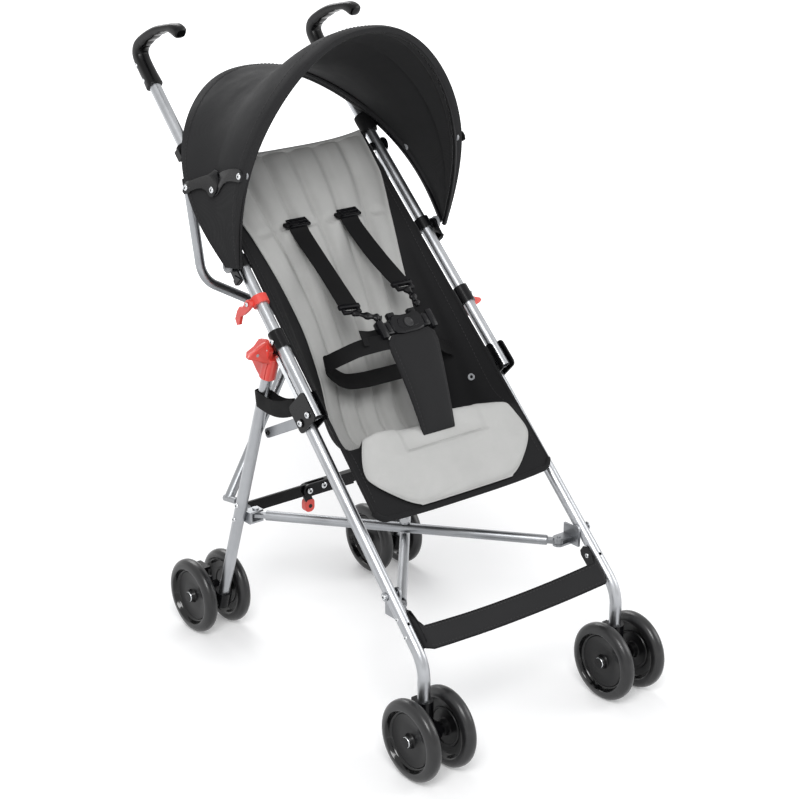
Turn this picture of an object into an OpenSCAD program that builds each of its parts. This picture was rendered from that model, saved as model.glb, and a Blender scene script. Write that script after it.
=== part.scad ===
// Umbrella stroller. Units are millimetres, +Z is up and the front is at -Y.
// The ground is at Z = 0. Left means the -X side.

/* [Wheels] */
// diameter of every wheel
wheel_d = 125; // [105:1:145]
// width of a tyre
wheel_w = 23; // [18:1:26]
// distance between the two wheels of a pair
wheel_pitch = 65; // [62:0.5:76]
// radius of the tread's crown
crown_r = 19; // [16:0.5:30]
// outside diameter of the rim
rim_d = 92; // [80:1:98]
// diameter of the wheel hub
hub_d = 25; // [20:1:32]
// diameter of the axles
axle_d = 8; // [6:0.5:10]
// distance from the front axles to the rear axles
wheelbase = 588; // [520:1:660]
// distance between the middles of the front wheel pairs
front_track = 382.8; // [366:0.2:410]
// distance between the middles of the rear wheel pairs
rear_track = 367.4; // [350:0.2:390]

/* [Tubes] */
// diameter of push tubes and legs
tube_d = 19; // [17:0.5:21]
// wall of push tubes and legs
tube_wall = 1.5; // [1.2:0.1:2.5]
// diameter of braces and cross bars
brace_d = 16; // [14:0.5:17]
// wall of braces and cross bars
brace_wall = 1.3; // [1:0.1:2]
// thickness of stamped steel plates
plate_t = 2.5; // [2:0.1:3]
// diameter of the main hinge pins
pin_d = 8; // [6:0.5:9]
// diameter of the small rivets and pins
rivet_d = 6; // [4:0.5:7]
// radial play of a turning pin
run_gap = 0.05; // [0.03:0.01:0.1]
// radial play of a fixed sleeve
fit_gap = 0.1; // [0.05:0.01:0.2]
// side play between moving faces
side_gap = 0.4; // [0.3:0.05:0.8]

/* [Push tubes] */
// length from the knee end to the handle bend
push_len = 684.8; // [600:0.2:760]
// slope above the horizontal
push_angle = 43.76; // [38:0.02:50]
// toe-in towards the handles
push_toe = 1.86; // [0:0.02:4]
// lower end behind the front axles
push_setback = 270.6; // [230:0.2:310]
// height of the lower end
push_low_z = 463; // [420:1:500]
// half distance between the lower ends
seat_half_w = 184.4; // [176:0.2:200]

/* [Handles] */
// length of the sleeve on the tube
grip_sleeve = 60; // [45:1:80]
// diameter of the sleeve
grip_sleeve_d = 28; // [25:0.5:33]
// diameter of the hooked bar
grip_d = 23; // [20:0.5:26]
// radius of the bend at the top
grip_bend_r = 14.5; // [13.5:0.5:20]
// turn of the bend at the top
grip_turn = 105; // [90:1:115]
// radius of the long curve
grip_bar_r = 177; // [140:1:220]
// turn of the long curve
grip_bar_turn = 38; // [30:1:44]
// end of the tube below the bend
grip_drop = 2; // [1:0.5:6]

/* [Knee and hip] */
// knee bracket station on the push tube
knee_station = 13; // [11:1:18]
// leg axis below the push tube axis at the knee
knee_drop = 26; // [25:0.5:30]
// hip collar station on the push tube
hip_station = 141; // [120:1:170]
// hinge axis below the push tube axis at the hip
hip_drop = 23; // [22:0.5:28]
// outside diameter of the hip collar
collar_d = 25; // [23.5:0.5:27]
// length of the hip collar
collar_len = 30; // [24:1:40]

/* [Front legs] */
// height where the leg turns vertical
leg_bend_z = 169; // [150:1:190]
// radius of that bend
leg_bend_r = 60; // [40:1:75]
// height of the tube's end in the caster
leg_end_z = 86; // [80:1:92]
// axle ahead of the swivel axis
caster_lead = 12; // [6:0.5:18]
// top of the caster housing
caster_top_z = 112; // [106:1:120]
// diameter of the caster housing
caster_d = 28; // [25:0.5:31]
// yoke bolt, measured down the leg from the knee
yoke_station = 291; // [270:1:300]
// middle of the footrest, measured down the leg
foot_station = 342; // [336:1:346]
// width of the footrest band
foot_w = 60; // [40:1:66]
// sag of the footrest band
foot_sag = 14; // [6:1:24]
// thickness of the footrest band
foot_t = 3; // [2:0.5:4]

/* [Rear legs] */
// axle behind the leg's line
rear_axle_set = 37; // [30:0.5:45]
// height of the brace's lower bolt
brace_foot_z = 252; // [240:1:270]
// height of the folding lock bar
lock_z = 232; // [228:1:238]
// lock bar behind the leg's line
lock_set = 16; // [15:0.5:20]
// lock bar joint, from the middle
lock_mid_x = -37; // [-60:1:-20]
// height of a lock link
lock_h = 20; // [16:0.5:22]

/* [Rear braces] */
// swivel station on the push tube
brace_station = 440; // [420:1:450]
// brace axis outside the push tube axis
brace_side = 20.5; // [20:0.5:24]
// brace axis behind the push tube axis
brace_drop = 12; // [8:0.5:14]
// drop from the top pivot to the first bend
brace_knee = 151; // [130:1:170]
// drop from the top pivot to the crossing
brace_cross = 261; // [245:1:280]
// radius of the first bend
brace_knee_r = 46; // [35:1:60]
// radius of the bend at the crossing
brace_mid_r = 100; // [80:1:130]
// brace plane behind the rear leg's line
brace_set = 28; // [27:0.5:34]

/* [Bottom cross bars] */
// height between the two bars
cross_z = 220; // [214:1:224]
// half distance between the front pins
cross_front_x = 157; // [152:0.5:160]
// half distance between the rear bolts
cross_rear_x = 157; // [152:0.5:160]
// rear bolts ahead of the rear leg's line
cross_rear_set = 12; // [8:0.5:16]
// front pins behind the yoke bolt
cross_front_set = 17; // [12:0.5:22]

/* [Seat] */
// thickness of the sling cloth
sling_t = 2.5; // [2:0.1:4]
// thickness of the back pad at its crown
pad_t = 12; // [8:0.5:16]
// depth of the pad's channels
pad_channel = 4; // [2:0.5:6]
// number of channels over the back pad
pad_channels = 6; // [4:1:8]
// space between cloth and its neighbours
cloth_gap = 0.5; // [0.4:0.05:1]
// thickness of the harness webbing
strap_t = 2; // [1.5:0.1:3]
// width of the harness webbing
strap_w = 25; // [20:1:32]

/* [Canopy] */
// clip station on the push tube
canopy_station = 280; // [265:1:295]
// rear clip station on the push tube
canopy_clip = 485; // [470:1:500]
// front bow tilt, forwards
front_tilt = 9.7; // [0:0.1:20]
// rear bow tilt, backwards
rear_tilt = 45; // [42:0.1:46]
// height of the front bow along its plane
front_bow_h = 350; // [320:0.1:380]
// height of the rear bow along its plane
rear_bow_h = 343; // [315:0.1:370]
// half width of the front bow at its feet
front_bow_w = 201; // [199:0.1:206]
// half width of the rear bow at its feet
rear_bow_w = 211.5; // [208:0.1:216]
// feet of the front bow ahead of the push tubes
front_bow_set = 28; // [20:0.5:36]
// feet of the rear bow ahead of the push tubes
rear_bow_set = 10.5; // [9:0.5:16]
// thickness of the canopy cloth
canopy_t = 2; // [1.5:0.1:3]
// sag of the cloth between the bows
canopy_sag = 0.05; // [0:0.005:0.1]

/* [Storage latch] */
// latch station on the push tube
latch_station = 212; // [200:1:225]

/* [Hidden] */
$fn = 48;
overcut = 1;
lap = 1.5;
bend_thin = 0.15;
wheel_r = wheel_d / 2;
tube_r = tube_d / 2;
brace_r = brace_d / 2;
brace_off = brace_r + side_gap;
grip_reach = grip_bend_r * (1 - sin(push_angle)) + grip_d / 2 - grip_drop * cos(push_angle);
overall_len = wheel_r + push_setback + push_len * cos(push_angle) + grip_reach;
front_axle_y = wheel_r - overall_len / 2;
rear_axle_y = front_axle_y + wheelbase;
front_x = front_track / 2;
rear_x = rear_track / 2;
hub_out = wheel_w / 2 - 2.5;
hub_in = wheel_w / 2 - 0.5;

push_dir = [-sin(push_toe) * sin(push_angle), cos(push_angle), cos(push_toe) * sin(push_angle)];
push_back = [sin(push_toe) * cos(push_angle), sin(push_angle), -cos(push_toe) * cos(push_angle)];
push_side = [cos(push_toe), 0, sin(push_toe)];
push_low = [seat_half_w, front_axle_y + push_setback, push_low_z];

function push_at(s, back = 0, side = 0) = push_low + s * push_dir + back * push_back + side * push_side;
function unit(v) = v / norm(v);
function mix(a, b, k) = a + (b - a) * k;

knee_pt = push_at(knee_station, knee_drop);
caster_y = front_axle_y + caster_lead;
leg_corner = [front_x, caster_y, leg_bend_z];
leg_dir = unit(leg_corner - knee_pt);
leg_hollow = norm(leg_corner - knee_pt) - leg_bend_r / 2;
hip_pt = push_at(hip_station, hip_drop);
rear_foot = [rear_x, rear_axle_y - rear_axle_set, wheel_r];
rear_len = norm(hip_pt - rear_foot);
rear_dir = unit(rear_foot - hip_pt);

function leg_at(t) = knee_pt + t * leg_dir;
function rear_leg_at(z) = mix(rear_foot, hip_pt, (z - wheel_r) / (hip_pt.z - wheel_r));

brace_top = push_at(brace_station, brace_drop, brace_side);
brace_foot = rear_leg_at(brace_foot_z) + [0, brace_set, 0];
brace_v = norm([brace_top.y - brace_foot.y, brace_top.z - brace_foot.z]);
brace_lean = atan2(brace_top.y - brace_foot.y, brace_top.z - brace_foot.z);
brace_end = [-brace_top.x - brace_foot.x, -brace_v];
brace_path = [[0, -14], [-4, -brace_knee], [-brace_top.x, -brace_cross], brace_end];
brace_in_a = atan2(brace_cross - brace_knee, brace_top.x - 4);
brace_out_a = atan2(brace_v - brace_cross, brace_foot.x);
brace_bow = brace_mid_r * (1 / cos((brace_out_a - brace_in_a) / 2) - 1);
brace_sink = brace_bow / cos((brace_out_a + brace_in_a) / 2);

yoke_pt = leg_at(yoke_station);
cross_front = [cross_front_x, yoke_pt.y + cross_front_set, cross_z];
cross_rear = [cross_rear_x, rear_leg_at(cross_z).y - cross_rear_set, cross_z];
cross_run = [-cross_rear.x - cross_front.x, cross_rear.y - cross_front.y];
cross_len = norm(cross_run);
cross_mid = cross_len * cross_front_x / (cross_front_x + cross_rear_x);

lock_y = rear_leg_at(lock_z).y + lock_set;
lock_x = rear_leg_at(lock_z).x - tube_r - 11;

canopy_pt = push_at(canopy_station);
pad_gap = cloth_gap + 1;

// push line station of the edge, station of the middle, drop of the middle, half width of the pad
seat_rows = [
    [470, 460, 1.9, 138], [391, 395, 7.5, 133], [313, 328, 16.8, 124], [225, 247, 32.6, 113],
    [140, 166, 52.7, 106], [66, 93, 79.7, 105], [14, 39, 108.4, 108], [-20, -12, 114.5, 114],
    [-48, -46, 70.6, 122], [-70, -56, -1, 134], [-118, -112, -3, 150], [-166, -171, 1, 92]
];
seat_last = len(seat_rows) - 1;

function seat_pick(i) = seat_rows[min(max(i, 0), seat_last)];
function spline(a, b, c, d, k) =
    0.5 * (2 * b + (c - a) * k + (2 * a - 5 * b + 4 * c - d) * k * k + (3 * b - a - 3 * c + d) * k * k * k);
function seat_row(v) =
    let (i = min(floor(v), seat_last - 1))
    spline(seat_pick(i - 1), seat_pick(i), seat_pick(i + 1), seat_pick(i + 2), v - i);
function seat_edge(r) = push_at(r[0]).x - tube_r - side_gap - plate_t - 1.4 - sling_t - cloth_gap;
function seat_pt(v, u, lift = 0) =
    let (r = seat_row(v), f = pow(abs(u), 3.2), w = seat_edge(r))
    let (e = push_at(r[0]), m = push_at(r[1], r[2]))
    [w * u, mix(m.y, e.y, f), mix(m.z, e.z, f)] - lift * [0, push_back.y, push_back.z];
function sling_under(v, u) = seat_pt(v, u, -sling_t) + [sling_t * u * abs(u), 0, 0];

function pad_half(v, v0, v1, hw) =
    let (k = (v - v0) / (v1 - v0), q = 2 * k - 1)
    hw * (1 - 0.14 * pow(abs(q), 8));
function back_thick(v, q, v0, v1) =
    let (k = (v - v0) / (v1 - v0), e = 2 * k - 1)
    let (ends = 1 - pow(abs(e), 10), sides = 1 - pow(abs(q), 6))
    1.5 + sides * ends * (pad_t - 1.5 - pad_channel * pow(abs(cos(90 * pad_channels * q)), 6));
function front_thick(v, q, v0, v1) =
    let (k = (v - v0) / (v1 - v0), e = 2 * k - 1)
    1.2 + 4.5 * (1 - pow(abs(q), 8)) * (1 - pow(abs(e), 8));

// closed solid between two grids of points
module shell(top, under) {
    n = len(top);
    m = len(top[0]);
    flat = concat([for (row = top) for (p = row) p], [for (row = under) for (p = row) p]);
    o = n * m;
    up = [for (i = [0:n - 2], j = [0:m - 2]) each
        [[i * m + j, i * m + j + 1, (i + 1) * m + j + 1], [i * m + j, (i + 1) * m + j + 1, (i + 1) * m + j]]];
    dn = [for (f = up) [o + f[2], o + f[1], o + f[0]]];
    rim = concat(
        [for (j = [0:m - 1]) j],
        [for (i = [1:n - 1]) i * m + m - 1],
        [for (j = [m - 2:-1:0]) (n - 1) * m + j],
        [for (i = [n - 2:-1:1]) i * m]
    );
    k = len(rim);
    side = [for (i = [0:k - 1]) let (a = rim[i], b = rim[(i + 1) % k]) each
        [[b, a, o + a], [b, o + a, o + b]]];
    polyhedron(points = flat, faces = concat(up, dn, side));
}

// flat band along a list of points, with a list of half-width vectors and of thickness vectors
module band(pts, half, thick) {
    n = len(pts) - 1;
    shell(
        [for (i = [0:n]) [pts[i] + half[i], pts[i] - half[i]]],
        [for (i = [0:n]) [pts[i] + half[i] + thick[i], pts[i] - half[i] + thick[i]]]
    );
}

module on_side(side) {
    if (side < 0) {
        mirror([1, 0, 0]) children();
    } else {
        children();
    }
}

// local Z along v, local X kept close to the stroller's X
module frame_at(p, v) {
    w = unit(v);
    translate(p) rotate([asin(-w.y), atan2(w.x, w.z), 0]) children();
}

module push_frame(s) {
    frame_at(push_at(s), push_dir) children();
}

// like push_frame, with its X along the stroller's X
module level_frame(s) {
    translate(push_at(s)) rotate([push_angle - 90, 0, 0]) children();
}

module leg_frame(t) {
    frame_at(leg_at(t), -leg_dir) children();
}

module rear_frame() {
    frame_at(hip_pt, -rear_dir) children();
}

module brace_frame(off) {
    translate(brace_top) rotate([90 - brace_lean, 0, 0]) translate([0, 0, off]) children();
}

// rod along X, from x0 to x1
module rod_x(d, x0, x1) {
    translate([x0, 0, 0]) rotate([0, 90, 0]) cylinder(h = x1 - x0, d = d);
}

// rod along Y, from y0 to y1
module rod_y(d, y0, y1) {
    translate([0, y0, 0]) rotate([-90, 0, 0]) cylinder(h = y1 - y0, d = d);
}

module box(a, b) {
    translate(a) cube(b - a);
}

module tube(h, d, wall) {
    difference() {
        cylinder(h = h, d = d);
        translate([0, 0, -overcut]) cylinder(h = h + 2 * overcut, d = d - 2 * wall);
    }
}

// rounded rectangle from a to b
module round_2d(a, b, r) {
    translate([a.x + r, a.y]) square([b.x - a.x - 2 * r, b.y - a.y]);
    translate([a.x, a.y + r]) square([b.x - a.x, b.y - a.y - 2 * r]);
    for (x = [a.x + r, b.x - r], y = [a.y + r, b.y - r]) {
        translate([x, y]) circle(r = r);
    }
}

// plate in the local YZ plane, from x0 to x1
module plate_x(x0, x1) {
    translate([x0, 0, 0]) rotate([90, 0, 90]) linear_extrude(height = x1 - x0) children();
}

function turn_at(p, i) =
    let (u = unit(p[i] - p[i - 1]), w = unit(p[i + 1] - p[i]))
    atan2(u.x * w.y - u.y * w.x, u * w);
function trim_at(p, r, i) = (i == 0 || i == len(p) - 1) ? 0 : r[i] * tan(abs(turn_at(p, i)) / 2);

// bar bent in the local XY plane, a little thinner in its bends
module bent_bar(p, r, d) {
    last = len(p) - 1;
    for (i = [0:last - 1]) {
        u = unit(p[i + 1] - p[i]);
        a = p[i] + u * (trim_at(p, r, i) - (i == 0 ? 0 : lap));
        b = p[i + 1] - u * (trim_at(p, r, i + 1) - (i == last - 1 ? 0 : lap));
        translate([a.x, a.y, 0]) rotate([0, 0, atan2(u.y, u.x)]) rod_x(d, 0, norm(b - a));
    }
    for (i = [1:last - 1]) {
        t = turn_at(p, i);
        u = unit(p[i] - p[i - 1]);
        n = t > 0 ? [-u.y, u.x] : [u.y, -u.x];
        c = p[i] - u * trim_at(p, r, i) + n * r[i];
        start = atan2(-n.y, -n.x);
        translate([c.x, c.y, 0]) rotate([0, 0, t > 0 ? start : start + t])
            rotate_extrude(angle = abs(t)) translate([r[i], 0]) circle(d = d - 2 * bend_thin);
    }
}

module push_tube() {
    color("#c9ccd0") push_frame(0) difference() {
        translate([0, 0, knee_station - 8])
            tube(push_len - knee_station + 8 - grip_drop - 1, tube_d, tube_wall);
        translate([0, 0, knee_station]) rod_x(rivet_d + 2 * fit_gap, -tube_d, tube_d);
        translate([0, 0, brace_station]) rod_x(pin_d + 2 * run_gap, -tube_d, tube_d);
    }
}

module grip() {
    c1 = [-grip_bend_r, -grip_drop];
    t1 = grip_turn;
    t2 = grip_bar_turn;
    c2 = c1 + (grip_bend_r - grip_bar_r) * [cos(t1), sin(t1)];
    tip = c2 + grip_bar_r * [cos(t1 + t2), sin(t1 + t2)];
    thin = grip_d - 2 * bend_thin;
    color("#1d1d1f") push_frame(push_len) difference() {
        union() {
            translate([0, 0, -grip_sleeve]) cylinder(h = grip_sleeve - grip_drop - 3, d = grip_sleeve_d);
            translate([0, 0, -grip_drop - 3]) cylinder(h = 3, d1 = grip_sleeve_d, d2 = grip_d);
            translate([0, 0, -grip_drop - 1]) cylinder(h = 1 + lap, d = grip_d);
            rotate([90, 0, 90]) {
                translate([c1.x, c1.y, 0])
                    rotate_extrude(angle = t1 + 4) translate([grip_bend_r, 0]) circle(d = thin);
                translate([c2.x, c2.y, 0]) rotate([0, 0, t1])
                    rotate_extrude(angle = t2) translate([grip_bar_r, 0]) circle(d = grip_d);
                for (k = [0.3, 0.5, 0.7, 0.9]) {
                    translate([c2.x, c2.y, 0]) rotate([0, 0, t1 + k * t2])
                        rotate_extrude(angle = 2) translate([grip_bar_r, 0]) circle(d = grip_d + 2);
                }
                translate([tip.x, tip.y, 0]) sphere(d = thin);
            }
        }
        translate([0, 0, -grip_sleeve - overcut])
            cylinder(h = grip_sleeve - grip_drop - 0.5 + overcut, d = tube_d + 2 * fit_gap);
    }
}

module knee_bracket() {
    x0 = tube_r + side_gap;
    x1 = x0 + plate_t;
    color("#232427") push_frame(knee_station) {
        for (x = [-x1, x0]) {
            plate_x(x, x + plate_t) round_2d([-13, -14], [knee_drop + 12, 34], 8);
        }
        rod_x(rivet_d, -x1 - 1.5, x1 + 1.5);
        translate([0, knee_drop, 0]) {
            rod_x(pin_d, -x1 - 2, x1 + 2);
            rod_x(pin_d + 5, x1, x1 + 2);
            rod_x(pin_d + 5, -x1 - 2, -x1);
        }
        box([-x1, tube_r + 0.8, 3], [x1, knee_drop - tube_r - 0.8, 12]);
    }
}

module side_link() {
    z0 = knee_station + 17;
    z1 = hip_station - 17;
    x0 = tube_r + side_gap;
    color("#6f7276") push_frame(0) {
        plate_x(4.4, 7.2) round_2d([tube_r + 1.5, z0], [tube_r + 9.5, z1], 3.9);
        translate([0, tube_r + 5.5, z0 + 6]) rod_x(4, 4.4, x0 - 0.1);
        translate([0, tube_r + 5.5, z1 - 6]) rod_x(4, 4.1, 8.4);
    }
}

module front_leg() {
    d = [knee_pt.x - front_x, knee_pt.y - caster_y];
    run = norm(d);
    top = [run, knee_pt.z];
    corner = [0, leg_bend_z];
    path = [top + 12 * unit(top - corner), corner, [0, leg_end_z]];
    color("#c9ccd0") difference() {
        translate([front_x, caster_y, 0]) rotate([0, 0, atan2(d.y, d.x)]) rotate([90, 0, 0])
            bent_bar(path, [0, leg_bend_r, 0], tube_d);
        leg_frame(-20) translate([0, 0, -leg_hollow]) cylinder(h = leg_hollow, d = tube_d - 2 * tube_wall);
        translate([front_x, caster_y, leg_end_z - overcut]) cylinder(h = 25, d = tube_d - 2 * tube_wall);
        push_frame(knee_station) translate([0, knee_drop, 0]) rod_x(pin_d + 2 * run_gap, -tube_d, tube_d);
        leg_frame(yoke_station) rod_x(pin_d + 2 * run_gap, -tube_d, tube_d);
        leg_frame(foot_station) rod_y(5, -tube_d, 0);
    }
}

// axle along X with shoulders and end caps for a pair of wheels
module axle() {
    shoulder = wheel_pitch / 2 - hub_in - side_gap;
    cap = wheel_pitch / 2 + hub_out + side_gap;
    rod_x(axle_d, -cap - 3, cap + 3);
    rod_x(axle_d + 8, -shoulder, shoulder);
    for (x = [-cap - 3, cap]) {
        rod_x(axle_d + 8, x, x + 3);
    }
}

module caster() {
    w = min(15, wheel_pitch / 2 - wheel_w / 2 - 3);
    color("#232427") translate([front_x, caster_y, 0]) {
        difference() {
            union() {
                translate([0, 0, wheel_r + 6]) cylinder(h = caster_top_z - wheel_r - 6, d = caster_d);
                box([-w, -caster_lead - 5, wheel_r - 10], [w, 13, wheel_r + 14]);
                translate([0, -caster_lead, wheel_r]) rod_x(26, -w, w);
                translate([0, 10, wheel_r - 1]) rod_x(18, -w, w);
                box([-5, caster_d / 2 - 2, caster_top_z - 17], [5, caster_d / 2 + 9, caster_top_z - 4]);
            }
            translate([0, 0, leg_end_z - 0.5]) cylinder(h = caster_top_z, d = tube_d + 2 * run_gap);
        }
        translate([0, -caster_lead, wheel_r]) axle();
    }
}

module wheel() {
    color("#1b1b1d") rotate_extrude() difference() {
        union() {
            intersection() {
                translate([wheel_r - crown_r, 0]) circle(r = crown_r);
                translate([rim_d / 2, -wheel_w / 2]) square([wheel_r, wheel_w]);
            }
            translate([rim_d / 2 - 4, -wheel_w / 2 + 2]) square([5, wheel_w - 3.5]);
            polygon([
                [rim_d / 2 - 3, 7], [rim_d / 2 - 8, 3], [hub_d / 2 - 2, 2],
                [hub_d / 2 - 2, -2], [rim_d / 2 - 7, -1], [rim_d / 2 - 3, 2]
            ]);
            translate([0, -hub_in]) square([hub_d / 2, hub_in + hub_out]);
        }
        translate([-overcut, -wheel_w]) square([overcut + axle_d / 2 + run_gap, 2 * wheel_w]);
    }
}

// pair: position of the pair's middle, out: side of the wheel
module wheel_at(pair, out) {
    translate([pair.x + out * wheel_pitch / 2, pair.y, wheel_r]) rotate([0, 90 * out, 0]) wheel();
}

module hip_collar() {
    color("#232427") push_frame(hip_station) difference() {
        union() {
            translate([0, 0, -collar_len / 2]) cylinder(h = collar_len, d = collar_d);
            box([-5, tube_r, -9], [5, hip_drop, 9]);
            translate([0, hip_drop, 0]) rod_x(18, -5, 5);
            translate([0, hip_drop, 0]) rod_x(rivet_d, -13.5, 13.5);
            box([-4, tube_r, -29], [4, tube_r + 9.5, -8]);
            rod_x(9, collar_d / 2 - 2, collar_d / 2 + 1.5);
        }
        translate([0, 0, -collar_len]) cylinder(h = 2 * collar_len, d = tube_d + 2 * fit_gap);
        translate([0, 0, -collar_len]) cylinder(h = 2, d = collar_d);
    }
}

module hinge_housing() {
    cheek = 13 - 5 - side_gap;
    color("#e2574f") difference() {
        rear_frame() difference() {
            union() {
                for (x = [-13, 5 + side_gap]) {
                    rod_x(17, x, x + cheek);
                    box([x, -8.5, -26], [x + cheek, 8.5, 0]);
                }
                translate([0, 0, -52]) cylinder(h = 38, d = tube_d + 8);
                plate_x(13 - 5, 13)
                    polygon([[-8, 7], [2, 14], [8, 14], [22, 6], [31, -14], [45, -34],
                        [44, -41], [28, -38], [12, -47], [0, -51], [-8, -51]]);
            }
            translate([0, 0, -60]) cylinder(h = 44, d = tube_d + 2 * fit_gap);
            box([-5 - side_gap, -30, -12], [5 + side_gap, 30, 20]);
            translate([0, 27, -27]) rod_x(10, 0, 20);
        }
        push_frame(hip_station) translate([0, hip_drop, 0]) rod_x(rivet_d + 2 * run_gap, -20, 20);
    }
}

// zr: height of the cross bar that ends on this leg
module rear_leg(zr) {
    c = [cross_rear.x, cross_rear.y, zr];
    lx = rear_leg_at(zr).x;
    color("#c9ccd0") difference() {
        union() {
            rear_frame() translate([0, 0, -rear_len - 3]) tube(rear_len + 3 - 17, tube_d, tube_wall);
            for (z = [zr - 10, zr + 7]) {
                box([c.x - 9, c.y - 9, z], [lx - tube_r + 1, c.y + 9, z + 3]);
            }
            box([lx - tube_r - 4, c.y - 9, zr - 10], [lx - tube_r + 1, c.y + 14, zr + 10]);
            translate([c.x, c.y, zr + 10]) cylinder(h = 2.5, d = 11);
            translate([0, lock_y - 6, lock_z]) {
                translate([lock_x, 0, 0]) rod_y(18, 0, 4);
                box([lock_x, 0, -9], [lx - tube_r - 1, 4, 9]);
                box([lx - tube_r - 5, -lock_set + 4, -9], [lx - tube_r + 1, 4, 9]);
                translate([lock_x, 0, 0]) rod_y(rivet_d, 0, 11);
            }
        }
        rear_frame() translate([0, 0, -rear_len - 20]) cylinder(h = rear_len, d = tube_d - 2 * tube_wall);
    }
}

module rear_socket() {
    w = min(15, wheel_pitch / 2 - wheel_w / 2 - 3);
    tail = rear_axle_y + 26;
    color("#232427") {
        difference() {
            union() {
                rear_frame() translate([0, 0, -rear_len - 12]) cylinder(h = 28, d = tube_d + 8);
                translate([rear_x, 0, 0]) {
                    box([-w + 2, rear_foot.y - 4, wheel_r - 11], [w - 2, rear_axle_y, wheel_r + 9]);
                    translate([0, rear_axle_y, wheel_r]) rod_x(28, -w, w);
                    box([-5, rear_axle_y, wheel_r], [5, tail, wheel_r + 24]);
                    translate([0, tail, wheel_r + 18]) rod_x(12, -5, 5);
                    translate([0, tail, wheel_r + 18]) rod_x(rivet_d - 1, -10, 10);
                }
            }
            rear_frame() translate([0, 0, -rear_len - 3.5]) cylinder(h = 60, d = tube_d + 2 * fit_gap);
        }
        translate([rear_x, rear_axle_y, wheel_r]) axle();
    }
}

module brake_lever() {
    color("#232427") translate([rear_x, rear_axle_y + 26, wheel_r + 18]) difference() {
        union() {
            for (x = [-10, 5 + side_gap]) {
                rod_x(13, x, x + 5 - side_gap);
                box([x, -5, 0], [x + 5 - side_gap, 6, 14]);
            }
            box([-13, -8, 10], [13, 22, 14.5]);
            translate([0, 22, 12.25]) rod_x(4.5, -13, 13);
        }
        rod_x(rivet_d - 1 + 2 * run_gap, -20, 20);
    }
}

module brace_swivel(off) {
    x0 = tube_r + side_gap;
    color("#3a3c40") {
        push_frame(brace_station) {
            rod_x(pin_d, -x0 - 1, x0 + 1);
            rod_x(pin_d + 6, -x0 - 3, -x0);
            rod_x(24, x0, x0 + plate_t);
        }
        brace_frame(off) {
            for (z = [-3 - side_gap - 3.5, 3 + side_gap]) {
                translate([0, 0, z]) linear_extrude(height = 3.5)
                    round_2d([x0 - brace_side + 0.3, -9], [6.5, 9], 2.5);
            }
            translate([0, 0, -8.4]) cylinder(h = 16.8, d = rivet_d);
        }
        brace_frame(0) {
            x = x0 - brace_side + 0.3;
            box([x, -9, min(off - 6.9, -2)], [x + 2.3, 14, max(off + 6.9, 10)]);
        }
    }
}

// off: distance from the middle plane of the two braces, bore: hole for the middle pin
module rear_brace(off, bore) {
    reach = brace_r - 0.5 + (off < 0 ? 2 * brace_off : 0);
    color("#b9bcc0") brace_frame(off) difference() {
        union() {
            bent_bar(brace_path, [0, brace_knee_r, brace_mid_r, 0], brace_d);
            translate([0, 0, -3]) linear_extrude(height = 6) {
                circle(d = 12);
                translate([-6, -22]) square([12, 22]);
            }
            translate([brace_end.x, brace_end.y, -brace_r - 2]) cylinder(h = brace_r + 2 + reach, d = 11);
        }
        translate([0, 0, -10]) cylinder(h = 20, d = rivet_d + 2 * run_gap);
        translate([-brace_top.x, -brace_cross - brace_sink, -20]) cylinder(h = 40, d = bore);
    }
}

module brace_pin() {
    color("#8d9094") brace_frame(0) translate([-brace_top.x, -brace_cross - brace_sink, 0]) {
        half = brace_off + brace_r + 3.5;
        translate([0, 0, -half]) cylinder(h = 2 * half, d = rivet_d);
        for (z = [-half, half - 3.5 + side_gap]) {
            translate([0, 0, z]) cylinder(h = 3.5 - side_gap, d = 17);
        }
    }
}

// zf: height of the bar held by this yoke
module front_yoke(zf) {
    x1 = yoke_pt.x - tube_r - side_gap;
    y = cross_front.y;
    color("#9fa2a6") {
        leg_frame(yoke_station) {
            rod_x(pin_d, -tube_r - side_gap - 3, tube_r + side_gap + 2.5);
            rod_x(pin_d + 5, tube_r + side_gap, tube_r + side_gap + 2.5);
            rod_x(pin_d + 10, -tube_r - side_gap - 4, -tube_r - side_gap);
        }
        box([x1 - 4, yoke_pt.y - 8, zf - 7], [x1, y + 9, yoke_pt.z + 4]);
        for (z = [zf - 3 - side_gap - 3.5, zf + 3 + side_gap]) {
            translate([0, 0, z]) linear_extrude(height = 3.5) {
                translate([cross_front.x, y]) circle(d = 18);
                translate([cross_front.x, y - 9]) square([x1 - cross_front.x, 18]);
            }
        }
        translate([cross_front.x, y, zf - 8.5]) cylinder(h = 17, d = rivet_d);
    }
}

// zf: height of the bar, bore: hole for the middle pin, pin: 1 on the bar that carries it
module cross_bar(zf, bore, pin) {
    yaw = atan2(cross_run.y, cross_run.x);
    color("#b9bcc0") translate([cross_front.x, cross_front.y, zf]) rotate([0, 0, yaw]) {
        difference() {
            union() {
                translate([18, 0, 0]) rotate([0, 90, 0]) tube(cross_len - 36, brace_d, brace_wall);
                translate([0, 0, -3]) linear_extrude(height = 6) {
                    circle(d = 16);
                    translate([cross_len, 0]) circle(d = 14);
                    translate([0, -6.5]) square([26, 13]);
                    translate([cross_len - 26, -6.5]) square([26, 13]);
                }
            }
            translate([0, 0, -10]) cylinder(h = 20, d = rivet_d + 2 * run_gap);
            translate([cross_mid, 0, -20]) cylinder(h = 40, d = bore);
        }
        if (pin > 0) {
            translate([cross_mid, 0, -brace_r - 3]) {
                cylinder(h = 2 * brace_off + 2 * brace_r + 3 + side_gap + 1, d = rivet_d);
                cylinder(h = 3.5, d = 14);
                translate([0, 0, 2 * brace_off + 2 * brace_r + 3 + side_gap]) cylinder(h = 3, d = 16);
            }
        }
    }
}

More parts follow.
